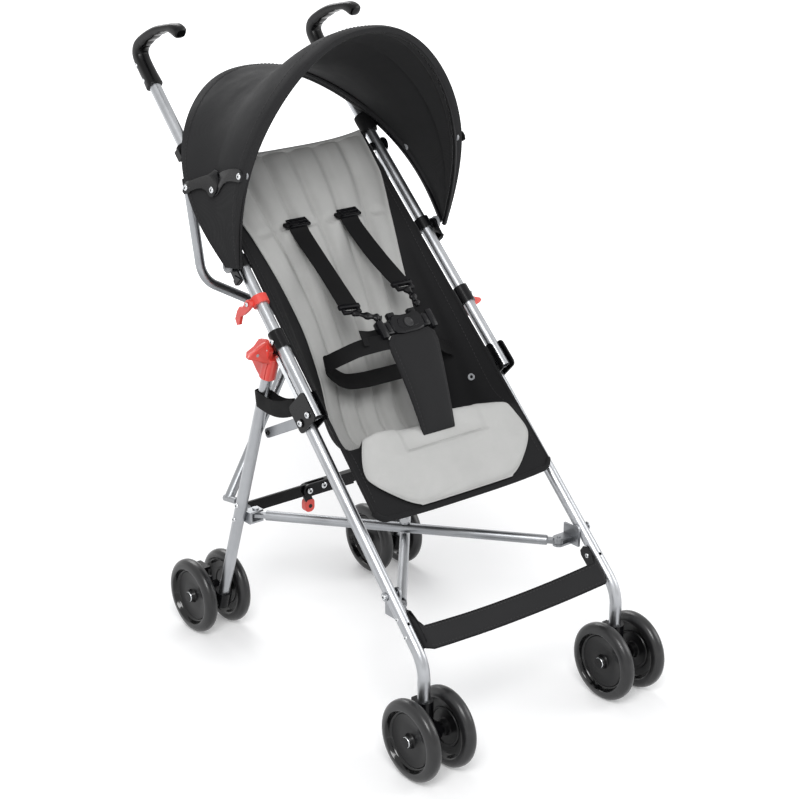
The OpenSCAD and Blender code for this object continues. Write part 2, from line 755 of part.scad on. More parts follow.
module left_lock_link() {
    color("#232427") translate([0, lock_y - 1.6, lock_z]) difference() {
        union() {
            translate([-lock_x, 0, 0]) rod_y(lock_h, 0, 4);
            translate([lock_mid_x, 0, 0]) rod_y(lock_h - 2, 0, 4);
            box([-lock_x, 0, -lock_h / 2], [lock_mid_x, 4, lock_h / 2]);
        }
        translate([-lock_x, 0, 0]) rod_y(rivet_d + 2 * run_gap, -5, 10);
    }
}

module right_lock_link() {
    color("#232427") translate([0, lock_y, lock_z]) difference() {
        union() {
            translate([lock_x, 0, 0]) rod_y(lock_h, -1.6, 2.4);
            box([lock_mid_x + 70, -1.6, -lock_h / 2], [lock_x, 2.4, lock_h / 2]);
            for (y = [-6, 3.5]) {
                translate([lock_mid_x, 0, 0]) rod_y(lock_h + 2, y, y + 3);
                box([lock_mid_x, y, -lock_h / 2 - 1], [lock_mid_x + 92, y + 3, lock_h / 2 + 1]);
            }
            box([lock_mid_x + 34, -6, lock_h / 2 - 2], [lock_mid_x + 92, 6.5, lock_h / 2 + 1]);
            translate([lock_mid_x, 0, 0]) rod_y(11, -8, -5.5);
            translate([lock_mid_x, 0, 0]) rod_y(rivet_d, 5.5, 16);
        }
        translate([lock_x, 0, 0]) rod_y(rivet_d + 2 * run_gap, -10, 10);
    }
}

module lock_pedal() {
    color("#e2574f") translate([lock_mid_x, lock_y + 7, lock_z]) difference() {
        union() {
            rod_y(16, 0, 5);
            rotate([90, 0, 0]) translate([0, 0, -5]) linear_extrude(height = 5)
                polygon([[-8, 0], [8, 0], [17, -26], [4, -30]]);
            rotate([90, 0, 0]) translate([0, 0, -13]) linear_extrude(height = 13)
                round_2d([1, -46], [20, -22], 8);
        }
        rod_y(rivet_d + 2 * run_gap, -5, 30);
        translate([10.5, 0, -35]) rod_y(7, -1, 8);
    }
}

module footrest() {
    half = leg_at(foot_station).x + 10;
    r = (half * half + foot_sag * foot_sag) / (2 * foot_sag);
    p = leg_at(foot_station);
    color("#26272a") frame_at([0, p.y, p.z], [0, -leg_dir.y, -leg_dir.z]) {
        drop = tube_r + cloth_gap + 0.6;
        translate([0, -drop, -foot_w / 2]) linear_extrude(height = foot_w) intersection() {
            translate([0, foot_sag - r - 1.2]) difference() {
                circle(r = r, $fn = 720);
                circle(r = r - foot_t, $fn = 720);
            }
            translate([-half, -20]) square([2 * half, 60]);
        }
        for (x = [-p.x, p.x]) {
            translate([x, 0, 0]) rod_y(4, -tube_r - foot_t - 1.5, -tube_r + tube_wall);
            translate([x, 0, 0]) rod_y(10, -tube_r - foot_t - 3, -tube_r - foot_t + 0.5);
        }
    }
}

module seat_sling() {
    vs = concat([for (i = [0:15]) i / 2], [for (i = [32:4 * seat_last]) i / 4]);
    us = [for (j = [-9:9]) j / 9];
    color("#2c2d30") shell(
        [for (v = vs) [for (u = us) seat_pt(v, u)]],
        [for (v = vs) [for (u = us) sling_under(v, u)]]
    );
}

// pad on the sling over a list of rows, kind 0: channelled back, kind 1: front
module seat_pad(vs, cols, kind) {
    v0 = vs[0];
    v1 = vs[len(vs) - 1];
    qs = [for (j = [-cols:cols]) j / cols];
    function at(v, q) = q * pad_half(v, v0, v1, seat_row(v)[3]) / seat_edge(seat_row(v));
    low = pad_gap + 1.8 * kind;
    function lift(v, q) = kind == 0 ? back_thick(v, q, v0, v1) : front_thick(v, q, v0, v1);
    color("#bfc1c4") shell(
        [for (v = vs) [for (q = qs) seat_pt(v, at(v, q), low + lift(v, q))]],
        [for (v = vs) [for (q = qs) seat_pt(v, at(v, q), low)]]
    );
}

module back_pad() {
    seat_pad(concat([0.2], [for (i = [1:15]) i / 2]), 2 * pad_channels, 0);
}

module front_pad() {
    seat_pad([for (i = [34:43]) i / 4], 9, 1);
}

buckle_s = 95;
buckle_up = 48;

// point on the middle plane, at a push line station and a height above the push line
function middle_pt(st, up) = [0, push_at(st, -up).y, push_at(st, -up).z];
buckle_pt = middle_pt(buckle_s, buckle_up);

// shoulder webbing from a slot to the buckle, side is -1 or 1
function shoulder_pts(side) = [
    seat_pt(1.95, side * 0.33, pad_gap + pad_t + 0.6), seat_pt(2.6, side * 0.34, pad_t + 12),
    seat_pt(3.3, side * 0.35, pad_t + 30), seat_pt(4, side * 0.3, pad_t + 56),
    middle_pt(buckle_s + 21, buckle_up) + [side * 12, 0, 0]
];
function waist_pts(side) = [
    seat_pt(5.2, side * 0.76, 4), seat_pt(5.2, side * 0.66, 12), seat_pt(5.2, side * 0.52, 34),
    seat_pt(5.1, side * 0.34, 80), middle_pt(buckle_s - 2, buckle_up) + [side * 20.6, 0, 0]
];

module webbing(p, half) {
    band(p, [for (q = p) half], [for (q = p) -strap_t * [0, push_back.y, push_back.z]]);
}

module harness() {
    color("#333437") {
        for (side = [-1, 1]) {
            webbing(shoulder_pts(side), [strap_w / 2, 0, 0]);
            webbing(waist_pts(side), -side * strap_w / 2 * [0, push_dir.y, push_dir.z]);
        }
    }
}

module crotch_pad() {
    foot = seat_pt(8.3, 0, 9);
    head = middle_pt(buckle_s - 18, buckle_up);
    ks = [for (i = [0:8]) i / 8];
    js = [for (j = [-3:3]) j / 3];
    function at(k, j, y) = mix(foot, head, k) + [j * mix(21, 28, k), y, 0];
    color("#2f3033") shell(
        [for (k = ks) [for (j = js) at(k, j, 3 + 6 * (1 - pow(abs(j), 4)) * sin(180 * k))]],
        [for (k = ks) [for (j = js) at(k, j, -6 * (1 - pow(abs(j), 4)) * sin(180 * k))]]
    );
}

module buckle() {
    color("#1d1d1f") frame_at(buckle_pt, push_dir) difference() {
        translate([0, 7, 0]) rotate([90, 0, 0]) linear_extrude(height = 14) round_2d([-20, -13], [20, 20], 6);
        rod_y(17 + 2 * run_gap, -20, -2.5);
    }
}

module buckle_button() {
    color("#3a3b3e") frame_at(buckle_pt, push_dir) rod_y(17, -8.2, -5.2);
}

// k: 0 at the front bow and 1 at the rear bow, t: 0 at the right foot and 180 at the left foot
function bow_at(k, t, grow = 0) =
    let (n = 2.14, c = cos(t), g = pow(abs(sin(t)), 2 / n), tilt = mix(front_tilt, -rear_tilt, k))
    let (w = mix(front_bow_w, rear_bow_w, k), slack = 1 - canopy_sag * sin(180 * k))
    let (h = mix(front_bow_h, rear_bow_h, k) * slack)
    let (y = canopy_pt.y - mix(front_bow_set, rear_bow_set, k), z = canopy_pt.z + 2.7)
    [(w + grow) * sign(c) * pow(abs(c), 2 / n) * (1 + 0.085 * sin(180 * g)),
        y - (h + grow) * sin(tilt) * g, z + (h + grow) * cos(tilt) * g];

module bow(k, out) {
    ts = [for (i = [0:40]) 4.5 * i];
    tilt = mix(front_tilt, -rear_tilt, k);
    along = [0, cos(tilt), sin(tilt)];
    band(
        [for (t = ts) bow_at(k, t, out)],
        [for (t = ts) -3.5 * along],
        [for (t = ts) unit(bow_at(k, t, out + 5) - bow_at(k, t, out)) * 2.5]
    );
}

module canopy_cloth() {
    ts = [for (i = [0:40]) 4.5 * i];
    ks = [for (i = [0:8]) mix(0.01, 0.99, i / 8)];
    color("#2c2d30") shell(
        [for (k = ks) [for (t = ts) bow_at(k, t, canopy_t + cloth_gap)]],
        [for (k = ks) [for (t = ts) bow_at(k, t, cloth_gap)]]
    );
}

module front_bow() {
    color("#232427") {
        bow(0, -3.1);
        for (side = [-1, 1]) {
            on_side(side) level_frame(canopy_station) difference() {
                union() {
                    rod_x(17, tube_r + 7, tube_r + 10.5);
                    plate_x(tube_r + 7, tube_r + 10.5) polygon([[-6, 5], [5, -6], [-14, -28], [-28, -14]]);
                    plate_x(tube_r + 7, front_bow_w - canopy_pt.x - 1)
                        polygon([[-12, -12], [-8, -22], [-14, -28], [-28, -14]]);
                }
                rod_x(pin_d + 2 * run_gap, 0, 40);
            }
        }
    }
}

module rear_bow() {
    color("#232427") bow(1, -4.5);
}

module canopy_struts() {
    color("#1d1d1f") for (side = [-1, 1]) {
        on_side(side) band(
            [for (i = [0:8]) bow_at(i / 8, 32 + 4 * sin(45 * i), canopy_t + cloth_gap + 2.2)],
            [for (i = [0:8]) [0, 1, 5]],
            [for (i = [0:8]) [2, 0, 0]]
        );
    }
}

module canopy_clip() {
    color("#232427") difference() {
        union() {
            push_frame(canopy_station) translate([0, 0, -10]) cylinder(h = 20, d = tube_d + 7);
            level_frame(canopy_station) {
                rod_x(16, tube_r, tube_r + 6.5);
                rod_x(pin_d, tube_r, tube_r + 13);
                rod_x(15, tube_r + 11, tube_r + 14);
            }
        }
        push_frame(canopy_station) translate([0, 0, -20]) cylinder(h = 40, d = tube_d + 2 * fit_gap);
    }
}

module rear_clip() {
    color("#2f3033") push_frame(canopy_clip) difference() {
        union() {
            translate([0, 0, -9]) cylinder(h = 18, d = tube_d + 5);
            box([5, 1, -9], [tube_r + 9, 6, 9]);
            box([tube_r + 6, -7, -9], [tube_r + 9, 6, 9]);
        }
        translate([0, 0, -20]) cylinder(h = 40, d = tube_d + 2 * fit_gap);
        box([-tube_r - 5, -tube_d, -20], [tube_r + 5, -5.5, 20]);
    }
}

module latch_clamp() {
    color("#e2574f") push_frame(latch_station) difference() {
        union() {
            translate([0, 0, -7]) cylinder(h = 14, d = tube_d + 8);
            translate([0, 4, 0]) rod_x(13, tube_r, tube_r + 5.5);
            translate([0, 4, 0]) rod_x(rivet_d, tube_r, tube_r + 13);
        }
        translate([0, 0, -20]) cylinder(h = 40, d = tube_d + 2 * fit_gap);
    }
}

module latch_hook() {
    color("#e2574f") push_frame(latch_station) translate([0, 4, 0]) difference() {
        union() {
            rod_x(14, tube_r + 6, tube_r + 11);
            plate_x(tube_r + 6, tube_r + 11) polygon([
                [-6, 4], [6, 7], [16, 4], [22, 10], [32, 9], [46, 3],
                [49, -7], [43, -10], [30, -3], [21, -6], [4, -8], [-5, -6]
            ]);
        }
        rod_x(rivet_d + 2 * run_gap, 0, 40);
    }
}

module left_push_tube() on_side(-1) push_tube();
module right_push_tube() push_tube();
module left_grip() on_side(-1) grip();
module right_grip() grip();
module left_knee_bracket() on_side(-1) knee_bracket();
module right_knee_bracket() knee_bracket();
module left_side_link() on_side(-1) side_link();
module right_side_link() side_link();
module left_front_leg() on_side(-1) front_leg();
module right_front_leg() front_leg();
module left_caster() on_side(-1) caster();
module right_caster() caster();
module wheel_fl_out() on_side(-1) wheel_at([front_x, front_axle_y], 1);
module wheel_fl_in() on_side(-1) wheel_at([front_x, front_axle_y], -1);
module wheel_fr_in() wheel_at([front_x, front_axle_y], -1);
module wheel_fr_out() wheel_at([front_x, front_axle_y], 1);
module wheel_rl_out() on_side(-1) wheel_at([rear_x, rear_axle_y], 1);
module wheel_rl_in() on_side(-1) wheel_at([rear_x, rear_axle_y], -1);
module wheel_rr_in() wheel_at([rear_x, rear_axle_y], -1);
module wheel_rr_out() wheel_at([rear_x, rear_axle_y], 1);
module left_hip_collar() on_side(-1) hip_collar();
module right_hip_collar() hip_collar();
module left_hinge_housing() on_side(-1) hinge_housing();
module right_hinge_housing() hinge_housing();
module left_rear_leg() on_side(-1) rear_leg(cross_z + brace_off);
module right_rear_leg() rear_leg(cross_z - brace_off);
module left_rear_socket() on_side(-1) rear_socket();
module right_rear_socket() rear_socket();
module left_brake_lever() on_side(-1) brake_lever();
module right_brake_lever() brake_lever();
module left_brace_swivel() on_side(-1) brace_swivel(brace_off);
module right_brace_swivel() brace_swivel(-brace_off);
module left_rear_brace() on_side(-1) rear_brace(brace_off, rivet_d + 2 * fit_gap);
module right_rear_brace() rear_brace(-brace_off, rivet_d + 5);
module left_front_yoke() on_side(-1) front_yoke(cross_z - brace_off);
module right_front_yoke() front_yoke(cross_z + brace_off);
module left_cross_bar() on_side(-1) cross_bar(cross_z - brace_off, rivet_d - 1, 1);
module right_cross_bar() cross_bar(cross_z + brace_off, rivet_d + 7, 0);
module left_canopy_clip() on_side(-1) canopy_clip();
module right_canopy_clip() canopy_clip();
module left_rear_clip() on_side(-1) rear_clip();
module right_rear_clip() rear_clip();
module storage_clamp() on_side(-1) latch_clamp();
module storage_hook() on_side(-1) latch_hook();

left_push_tube();
right_push_tube();
left_grip();
right_grip();
left_knee_bracket();
right_knee_bracket();
left_side_link();
right_side_link();
left_front_leg();
right_front_leg();
left_caster();
right_caster();
wheel_fl_out();
wheel_fl_in();
wheel_fr_in();
wheel_fr_out();
wheel_rl_out();
wheel_rl_in();
wheel_rr_in();
wheel_rr_out();
left_hip_collar();
right_hip_collar();
left_hinge_housing();
right_hinge_housing();
left_rear_leg();
right_rear_leg();
left_rear_socket();
right_rear_socket();
left_brake_lever();
right_brake_lever();
left_brace_swivel();
right_brace_swivel();
left_rear_brace();
right_rear_brace();
brace_pin();
left_front_yoke();
right_front_yoke();
left_cross_bar();
right_cross_bar();
left_lock_link();
right_lock_link();
lock_pedal();
footrest();
seat_sling();
back_pad();
front_pad();
harness();
crotch_pad();
buckle();
buckle_button();
canopy_cloth();
front_bow();
rear_bow();
canopy_struts();
left_canopy_clip();
right_canopy_clip();
left_rear_clip();
right_rear_clip();
storage_clamp();
storage_hook();
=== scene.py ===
"""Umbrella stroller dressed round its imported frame. Lengths are in mm until a mesh is made."""
from math import asin, atan2, copysign, cos, exp, floor, pi, radians, sin, sqrt
import bpy
import bmesh
import numpy as np
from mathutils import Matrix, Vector
from numpy import linspace


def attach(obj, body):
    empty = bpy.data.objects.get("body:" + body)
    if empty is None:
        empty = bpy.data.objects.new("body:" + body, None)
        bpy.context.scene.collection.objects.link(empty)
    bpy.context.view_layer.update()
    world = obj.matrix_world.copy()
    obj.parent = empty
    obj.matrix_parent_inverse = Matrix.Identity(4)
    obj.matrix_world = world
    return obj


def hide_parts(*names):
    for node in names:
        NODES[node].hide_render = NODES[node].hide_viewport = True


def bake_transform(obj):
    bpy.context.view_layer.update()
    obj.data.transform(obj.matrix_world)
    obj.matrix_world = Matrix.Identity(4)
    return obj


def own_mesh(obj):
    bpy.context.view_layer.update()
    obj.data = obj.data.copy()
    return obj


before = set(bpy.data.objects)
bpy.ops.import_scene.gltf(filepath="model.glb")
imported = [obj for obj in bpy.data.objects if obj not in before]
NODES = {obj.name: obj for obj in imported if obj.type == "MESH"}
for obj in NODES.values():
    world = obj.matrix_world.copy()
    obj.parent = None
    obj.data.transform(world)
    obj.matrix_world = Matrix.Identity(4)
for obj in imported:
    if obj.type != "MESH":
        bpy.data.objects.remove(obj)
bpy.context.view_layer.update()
MM = 0.001
SIDES = ((-1, "left"), (1, "right"))

# sizes shared with the part's source
WHEEL_R, WHEEL_PITCH = 62.5, 65.0
TUBE_R, PLATE_T, SIDE_GAP = 9.5, 2.5, 0.4
PUSH_LEN, PUSH_ANGLE, PUSH_TOE = 684.8, radians(43.76), radians(1.86)
PUSH_SETBACK, PUSH_LOW_Z, SEAT_HALF_W = 270.6, 463.0, 184.4
GRIP_BEND_R, GRIP_D, GRIP_DROP = 14.5, 23.0, 2.0
KNEE_STATION, KNEE_DROP, HIP_STATION, HIP_DROP = 13.0, 26.0, 141.0, 23.0
WHEELBASE, FRONT_X, REAR_X, CASTER_LEAD, REAR_SET = 588.0, 191.4, 183.7, 12.0, 37.0
LEG_BEND_Z, YOKE_STATION, FOOT_STATION, FOOT_SAG = 169.0, 291.0, 342.0, 14.0
SLING_T, CLOTH_GAP, PAD_T, CANOPY_T = 2.5, 0.5, 12.0, 2.0
CANOPY_STATION, LATCH_STATION = 280.0, 212.0
FRONT_TILT, REAR_TILT = radians(9.7), radians(45)
BOW_H, BOW_W, BOW_SET = (350.0, 343.0), (201.0, 211.5), (28.0, 10.5)
BOW_POWER, BOW_BULGE, BOW_RISE = 2.14, 0.085, 2.7
LOCK_X, LOCK_Z, LOCK_SET = -37.0, 232.0, 16.0

# sizes of the scene alone
CANOPY_SAG, SAG_BIAS = 0.17, 1.25
BUCKLE_S, BUCKLE_UP, BUCKLE_X = 95.0, 48.0, 9.0
CAP_SEAT = 8.5          # axle caps outside the middle of a wheel
LOOP_STATION = 484.0    # webbing loops of the seat on the push tubes
STRAP_Z = 456.0         # straps round the rear legs


def vec(*p):
    return np.array(p, float)


def arr(p):
    return np.asarray(p, float)


def unit(v):
    return arr(v) / np.linalg.norm(v)


def mix(a, b, k):
    return a + (b - a) * k


def bell(x, mid, width):
    return exp(-((x - mid) / width) ** 2)


def power(x, p):
    """a power that keeps the sign"""
    return copysign(abs(x) ** p, x)


GRIP_REACH = GRIP_BEND_R * (1 - sin(PUSH_ANGLE)) + GRIP_D / 2 - GRIP_DROP * cos(PUSH_ANGLE)
OVERALL = WHEEL_R + PUSH_SETBACK + PUSH_LEN * cos(PUSH_ANGLE) + GRIP_REACH
FRONT_Y = WHEEL_R - OVERALL / 2
REAR_Y = FRONT_Y + WHEELBASE
PUSH_DIR = vec(-sin(PUSH_TOE) * sin(PUSH_ANGLE), cos(PUSH_ANGLE), cos(PUSH_TOE) * sin(PUSH_ANGLE))
PUSH_BACK = vec(sin(PUSH_TOE) * cos(PUSH_ANGLE), sin(PUSH_ANGLE), -cos(PUSH_TOE) * cos(PUSH_ANGLE))
PUSH_LOW = vec(SEAT_HALF_W, FRONT_Y + PUSH_SETBACK, PUSH_LOW_Z)
ACROSS, FLAT = vec(1, 0, 0), vec(0, 1, 1)
LIFT, ALONG = -FLAT * PUSH_BACK, FLAT * PUSH_DIR


def push_at(s, back=0.0):
    return PUSH_LOW + s * PUSH_DIR + back * PUSH_BACK


KNEE = push_at(KNEE_STATION, KNEE_DROP)
HIP = push_at(HIP_STATION, HIP_DROP)
LEG_DIR = unit(vec(FRONT_X, FRONT_Y + CASTER_LEAD, LEG_BEND_Z) - KNEE)
REAR_FOOT = vec(REAR_X, REAR_Y - REAR_SET, WHEEL_R)
CANOPY_PT = push_at(CANOPY_STATION)


def leg_at(t):
    return KNEE + t * LEG_DIR


def rear_leg_at(z):
    return mix(REAR_FOOT, HIP, (z - WHEEL_R) / (HIP[2] - WHEEL_R))


LOCK_Y = rear_leg_at(LOCK_Z)[1] + LOCK_SET


class Axes:
    """A local frame with Z along w and X kept close to the stroller's X; side -1 mirrors it."""

    def __init__(self, origin, w, side=1):
        w = unit(w)
        a, b = asin(-w[1]), atan2(w[0], w[2])
        rx = np.array([[1, 0, 0], [0, cos(a), -sin(a)], [0, sin(a), cos(a)]])
        ry = np.array([[cos(b), 0, sin(b)], [0, 1, 0], [-sin(b), 0, cos(b)]])
        self.m, self.o, self.side = ry @ rx, origin, side

    def __call__(self, x, y, z):
        return flip(self.o + self.m @ vec(x, y, z), self.side)

    def dir(self, x, y, z):
        return flip(self.m @ vec(x, y, z), self.side)


def push_axes(s, side=1):
    return Axes(push_at(s), PUSH_DIR, side)


def flip(p, side):
    return arr(p) * vec(side, 1, 1)


# seat surface: station of the edge, station of the middle, drop of the middle, half width of the pad
SEAT_ROWS = np.array([
    [470, 460, 1.9, 138], [391, 395, 7.5, 133], [313, 328, 16.8, 124], [225, 247, 32.6, 113],
    [140, 166, 52.7, 106], [66, 93, 79.7, 105], [14, 39, 108.4, 108], [-20, -12, 114.5, 114],
    [-48, -46, 70.6, 122], [-70, -56, -1, 134], [-118, -112, -3, 150], [-166, -171, 1, 92]], float)
SEAT_LAST = len(SEAT_ROWS) - 1
SEAT_END = SEAT_LAST + 0.15


def spline_at(pts, s):
    """point on a smooth curve through pts, s counted in points"""
    last = len(pts) - 1
    i = min(int(floor(s)), last - 1)
    a, b, c, d = (pts[min(max(j, 0), last)] for j in (i - 1, i, i + 1, i + 2))
    k = s - i
    square, cube = 2 * a - 5 * b + 4 * c - d, 3 * b - a - 3 * c + d
    return 0.5 * (2 * b + (c - a) * k + square * k ** 2 + cube * k ** 3)


def seat_row(v):
    return spline_at(SEAT_ROWS, v)


def seat_edge(v):
    return push_at(seat_row(v)[0])[0] - TUBE_R - SIDE_GAP - PLATE_T - 1.4 - SLING_T - CLOTH_GAP


def seat_pt(v, u, lift=0.0):
    """v: row of the seat from the head to the front edge, u: from the left edge, -1, to the right one"""
    if v > SEAT_LAST:
        a, b = seat_pt(SEAT_LAST, u, lift), seat_pt(SEAT_LAST - 0.1, u, lift)
        return a + unit(a - b) * (v - SEAT_LAST) * 58
    r = seat_row(v)
    f, w = abs(u) ** 3.2, seat_edge(v)
    e, m = push_at(r[0]), push_at(r[1], r[2])
    return vec(w * u, mix(m[1], e[1], f), mix(m[2], e[2], f)) + lift * LIFT


def middle_pt(st, up):
    return FLAT * push_at(st, -up)


def bow_at(k, t, grow=0.0):
    """k: 0 at the front bow and 1 at the rear bow, t: degrees from the right foot to the left foot"""
    t = radians(t)
    c, g = cos(t), abs(sin(t)) ** (2 / BOW_POWER)
    tilt = mix(FRONT_TILT, -REAR_TILT, k)
    h = mix(*BOW_H, k) * (1 - CANOPY_SAG * sin(pi * max(k, 0.0) ** SAG_BIAS)) + grow
    x = (mix(*BOW_W, k) + grow) * power(c, 2 / BOW_POWER) * (1 + BOW_BULGE * sin(pi * g))
    y, z = CANOPY_PT[1] - mix(*BOW_SET, k), CANOPY_PT[2] + BOW_RISE
    return vec(x, y - h * sin(tilt) * g, z + h * cos(tilt) * g)


def bow_normal(k, t):
    return unit(bow_at(k, t, 9) - bow_at(k, t, 0))


# materials
def fill(nt, n, **values):
    """set a node's sockets, by name or as in0, in1 and so on, and its properties, named with _ in front"""
    for k, v in values.items():
        if k.startswith("_"):
            setattr(n, k[1:], v)
            continue
        socket = n.inputs[int(k[2:]) if k.startswith("in") else k.replace("_", " ")]
        if isinstance(v, bpy.types.NodeSocket):
            nt.links.new(v, socket)
        else:
            socket.default_value = v
    return n


def node(nt, kind, **values):
    return fill(nt, nt.nodes.new("ShaderNode" + kind), **values)


def sums(nt, operation, *values):
    """result of a maths node"""
    return node(nt, "Math", _operation=operation, **{"in%d" % i: v for i, v in enumerate(values)}).outputs[0]


def ranged(nt, value, lo, hi, to_lo, to_hi, **more):
    return node(nt, "MapRange", **more, Value=value, From_Min=lo, From_Max=hi, To_Min=to_lo,
                To_Max=to_hi).outputs["Result"]


def blended(nt, factor, a, b, **more):
    return node(nt, "Mix", _data_type="RGBA", **more, Factor=factor, in6=a, in7=b).outputs[2]


def rgb(hex_code):
    """linear colour of a hex code"""
    c = [int(hex_code[i:i + 2], 16) / 255 for i in (1, 3, 5)]
    return tuple(x / 12.92 if x < 0.04045 else ((x + 0.055) / 1.055) ** 2.4 for x in c) + (1.0,)


def new_material(name):
    m = bpy.data.materials.new(name)
    m.use_nodes = True
    return m, m.node_tree, m.node_tree.nodes["Principled BSDF"]


M = {}


def finish(key, dark, light, rough, name=None, metal=0.0, patch=14.0, grain=700.0, bump=0.15, depth=0.15,
           weave=0.0, sheen=0.0, wear=None, coat=0.0, level=0.5):
    """A node-based finish: mottled colour, grain or weave in the bump, uneven gloss and worn edges."""
    M[key], nt, b = new_material(name or key)
    co = node(nt, "TexCoord").outputs["Object"]
    spots = node(nt, "TexNoise", Vector=co, Scale=patch, Detail=4.0, Roughness=0.6).outputs["Fac"]
    fine = node(nt, "TexNoise", Vector=co, Scale=grain, Detail=3.0, Roughness=0.55).outputs["Fac"]
    ramp = node(nt, "ValToRGB", Fac=spots)
    for e, at, c in zip(ramp.color_ramp.elements, (0.3, 0.7), (dark, light)):
        e.position, e.color = at, rgb(c)
    colour, height = ramp.outputs["Color"], fine
    if weave:
        threads = sums(nt, "MULTIPLY", *(
            node(nt, "TexWave", _bands_direction=axis, Vector=co, Scale=2 * pi / (20 * weave * MM),
                 Distortion=0.6, Detail_Scale=2.0).outputs["Fac"] for axis in ("X", "Z")))
        height = sums(nt, "MULTIPLY_ADD", threads, 0.7, fine)
        colour = blended(nt, 0.22, colour, threads, _blend_type="MULTIPLY")
    if wear:
        point = node(nt, "NewGeometry").outputs["Pointiness"]
        colour = blended(nt, ranged(nt, point, 0.53, 0.62, 0.0, 0.5), colour, rgb(wear))
    relief = node(nt, "Bump", Strength=bump, Distance=depth * MM, Height=height)
    fill(nt, b, Metallic=metal, Sheen_Weight=sheen, Sheen_Roughness=0.45, Coat_Weight=coat,
         Coat_Roughness=0.12, Specular_IOR_Level=level, Base_Color=colour, Normal=relief.outputs["Normal"],
         Roughness=ranged(nt, spots, 0.3, 0.7, rough * 0.82, min(1.0, rough * 1.18)))


ALLOY = dict(metal=1.0, patch=18, grain=900, depth=0.05)
GREY = dict(weave=1.0, sheen=0.05, level=0.2)
THREAD = dict(grain=2500, bump=0.3)
finish("tube", "#a4a6a9", "#b2b4b7", 0.34, name="satin_aluminium", bump=0.012, **ALLOY)
finish("brace", "#919396", "#a1a3a6", 0.38, name="grey_aluminium", bump=0.015, **ALLOY)
finish("steel", "#c4c6c8", "#d4d6d8", 0.2, name="bright_steel", metal=1.0, patch=60, grain=1800, bump=0.03)
finish("grip", "#070708", "#0c0c0d", 0.26, name="grip_rubber", grain=1600, wear="#19191b", level=0.2)
finish("black_plastic", "#08080a", "#0e0e10", 0.26, grain=1300, bump=0.08, wear="#212124", level=0.2)
finish("red_plastic", "#d6382f", "#e0453b", 0.36, grain=1300, bump=0.06, wear="#ee7a70", coat=0.15)
finish("wheel", "#0d0d0e", "#131314", 0.34, name="wheel_plastic", grain=1100, bump=0.05, coat=0.1,
       wear="#2a2a2b", level=0.22)
# darker and glossier black of the wheels' dish walls: the gloss is their finish, the darker colour is painted
# shade
finish("gloss_black", "#040405", "#070708", 0.14, grain=1100, bump=0.03, coat=0.3, level=0.3)
finish("tread", "#171718", "#202021", 0.33, grain=900, bump=0.06, coat=0.12, level=0.45)
finish("black_cloth", "#1f1f20", "#262627", 0.86, weave=1.1, bump=0.3, sheen=0.02, level=0.12)
finish("canopy_cloth", "#2a2a2b", "#313132", 0.84, weave=0.9, bump=0.25, sheen=0.03, level=0.12)
finish("grey_cloth", "#b4b4b2", "#c0c0be", 0.88, bump=0.28, **GREY)
finish("front_cloth", "#bfbfbd", "#c9c9c7", 0.88, bump=0.25, **GREY)
finish("webbing", "#0d0d0e", "#131314", 0.74, weave=1.6, bump=0.5, sheen=0.02, level=0.15)
finish("pad_cloth", "#272728", "#2e2e2f", 0.86, weave=1.0, bump=0.3, sheen=0.03, level=0.12)
finish("button", "#141416", "#1b1b1d", 0.36, name="button_plastic", grain=1300, bump=0.08)
finish("knob", "#85878a", "#95979a", 0.42, name="knob_plastic", grain=1300, bump=0.1, wear="#b8babd")
finish("grey_thread", "#a2a2a0", "#adadab", 0.9, **THREAD)
finish("black_thread", "#232324", "#2b2b2c", 0.9, **THREAD)
# near-black discs painted as the shade at the bottom of holes and recesses
finish("dark", "#050506", "#080809", 0.6, name="dark_recess", grain=1300, bump=0.1)


# mesh building
def put(name, data):
    o = bpy.data.objects.new(name, data)
    bpy.context.collection.objects.link(o)
    return o


class Bag:
    """Points and faces of one piece, each part with its own material."""

    def __init__(self):
        self.v, self.f, self.m, self.mats = [], [], [], []

    def add(self, verts, faces, mat):
        if mat not in self.mats:
            self.mats.append(mat)
        o, i = len(self.v), self.mats.index(mat)
        self.v.extend([tuple(p) for p in verts])
        self.f.extend([tuple(o + a for a in f) for f in faces])
        self.m.extend([i] * len(faces))
        return self

    def piece(self, name, body, slot, *replaced, sharp=38.0):
        me = bpy.data.meshes.new(name)
        me.from_pydata([tuple(c * MM for c in p) for p in self.v], [], self.f)
        for k in self.mats:
            me.materials.append(M[k])
        me.polygons.foreach_set("material_index", self.m)
        bm = bmesh.new()
        bm.from_mesh(me)
        bmesh.ops.recalc_face_normals(bm, faces=bm.faces)
        bm.to_mesh(me)
        bm.free()
        me.shade_smooth()
        me.set_sharp_from_angle(angle=radians(sharp))
        o = put(name, me)
        if body:
            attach(o, body)
        if replaced:
            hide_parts(*replaced)
        return o


def quads(n, m, wrap=False):
    return [(i * m + j, i * m + (j + 1) % m, (i + 1) * m + (j + 1) % m, (i + 1) * m + j)
            for i in range(n - 1) for j in range(m if wrap else m - 1)]


def capped(n, m):
    """faces of n rings of m points with both ends closed"""
    return quads(n, m, wrap=True) + [tuple(range(m)), tuple(range((n - 1) * m, n * m))]


def slab(top, under):
    """closed thin solid between two grids of points"""
    top, under = arr(top), arr(under)
    n, m = top.shape[:2]
    o = n * m
    rim = [j for j in range(m)] + [i * m + m - 1 for i in range(1, n)]
    rim += [(n - 1) * m + j for j in range(m - 2, -1, -1)] + [i * m for i in range(n - 2, 0, -1)]
    f = quads(n, m) + [tuple(o + a for a in reversed(q)) for q in quads(n, m)]
    f += [(b, a, o + a, o + b) for a, b in zip(rim, rim[1:] + rim[:1])]
    return np.concatenate([top.reshape(-1, 3), under.reshape(-1, 3)]), f


def smooth_path(pts, n):
    """n points on a smooth curve through pts"""
    pts = arr(pts)
    return np.array([spline_at(pts, s) for s in linspace(0, len(pts) - 1, n)])


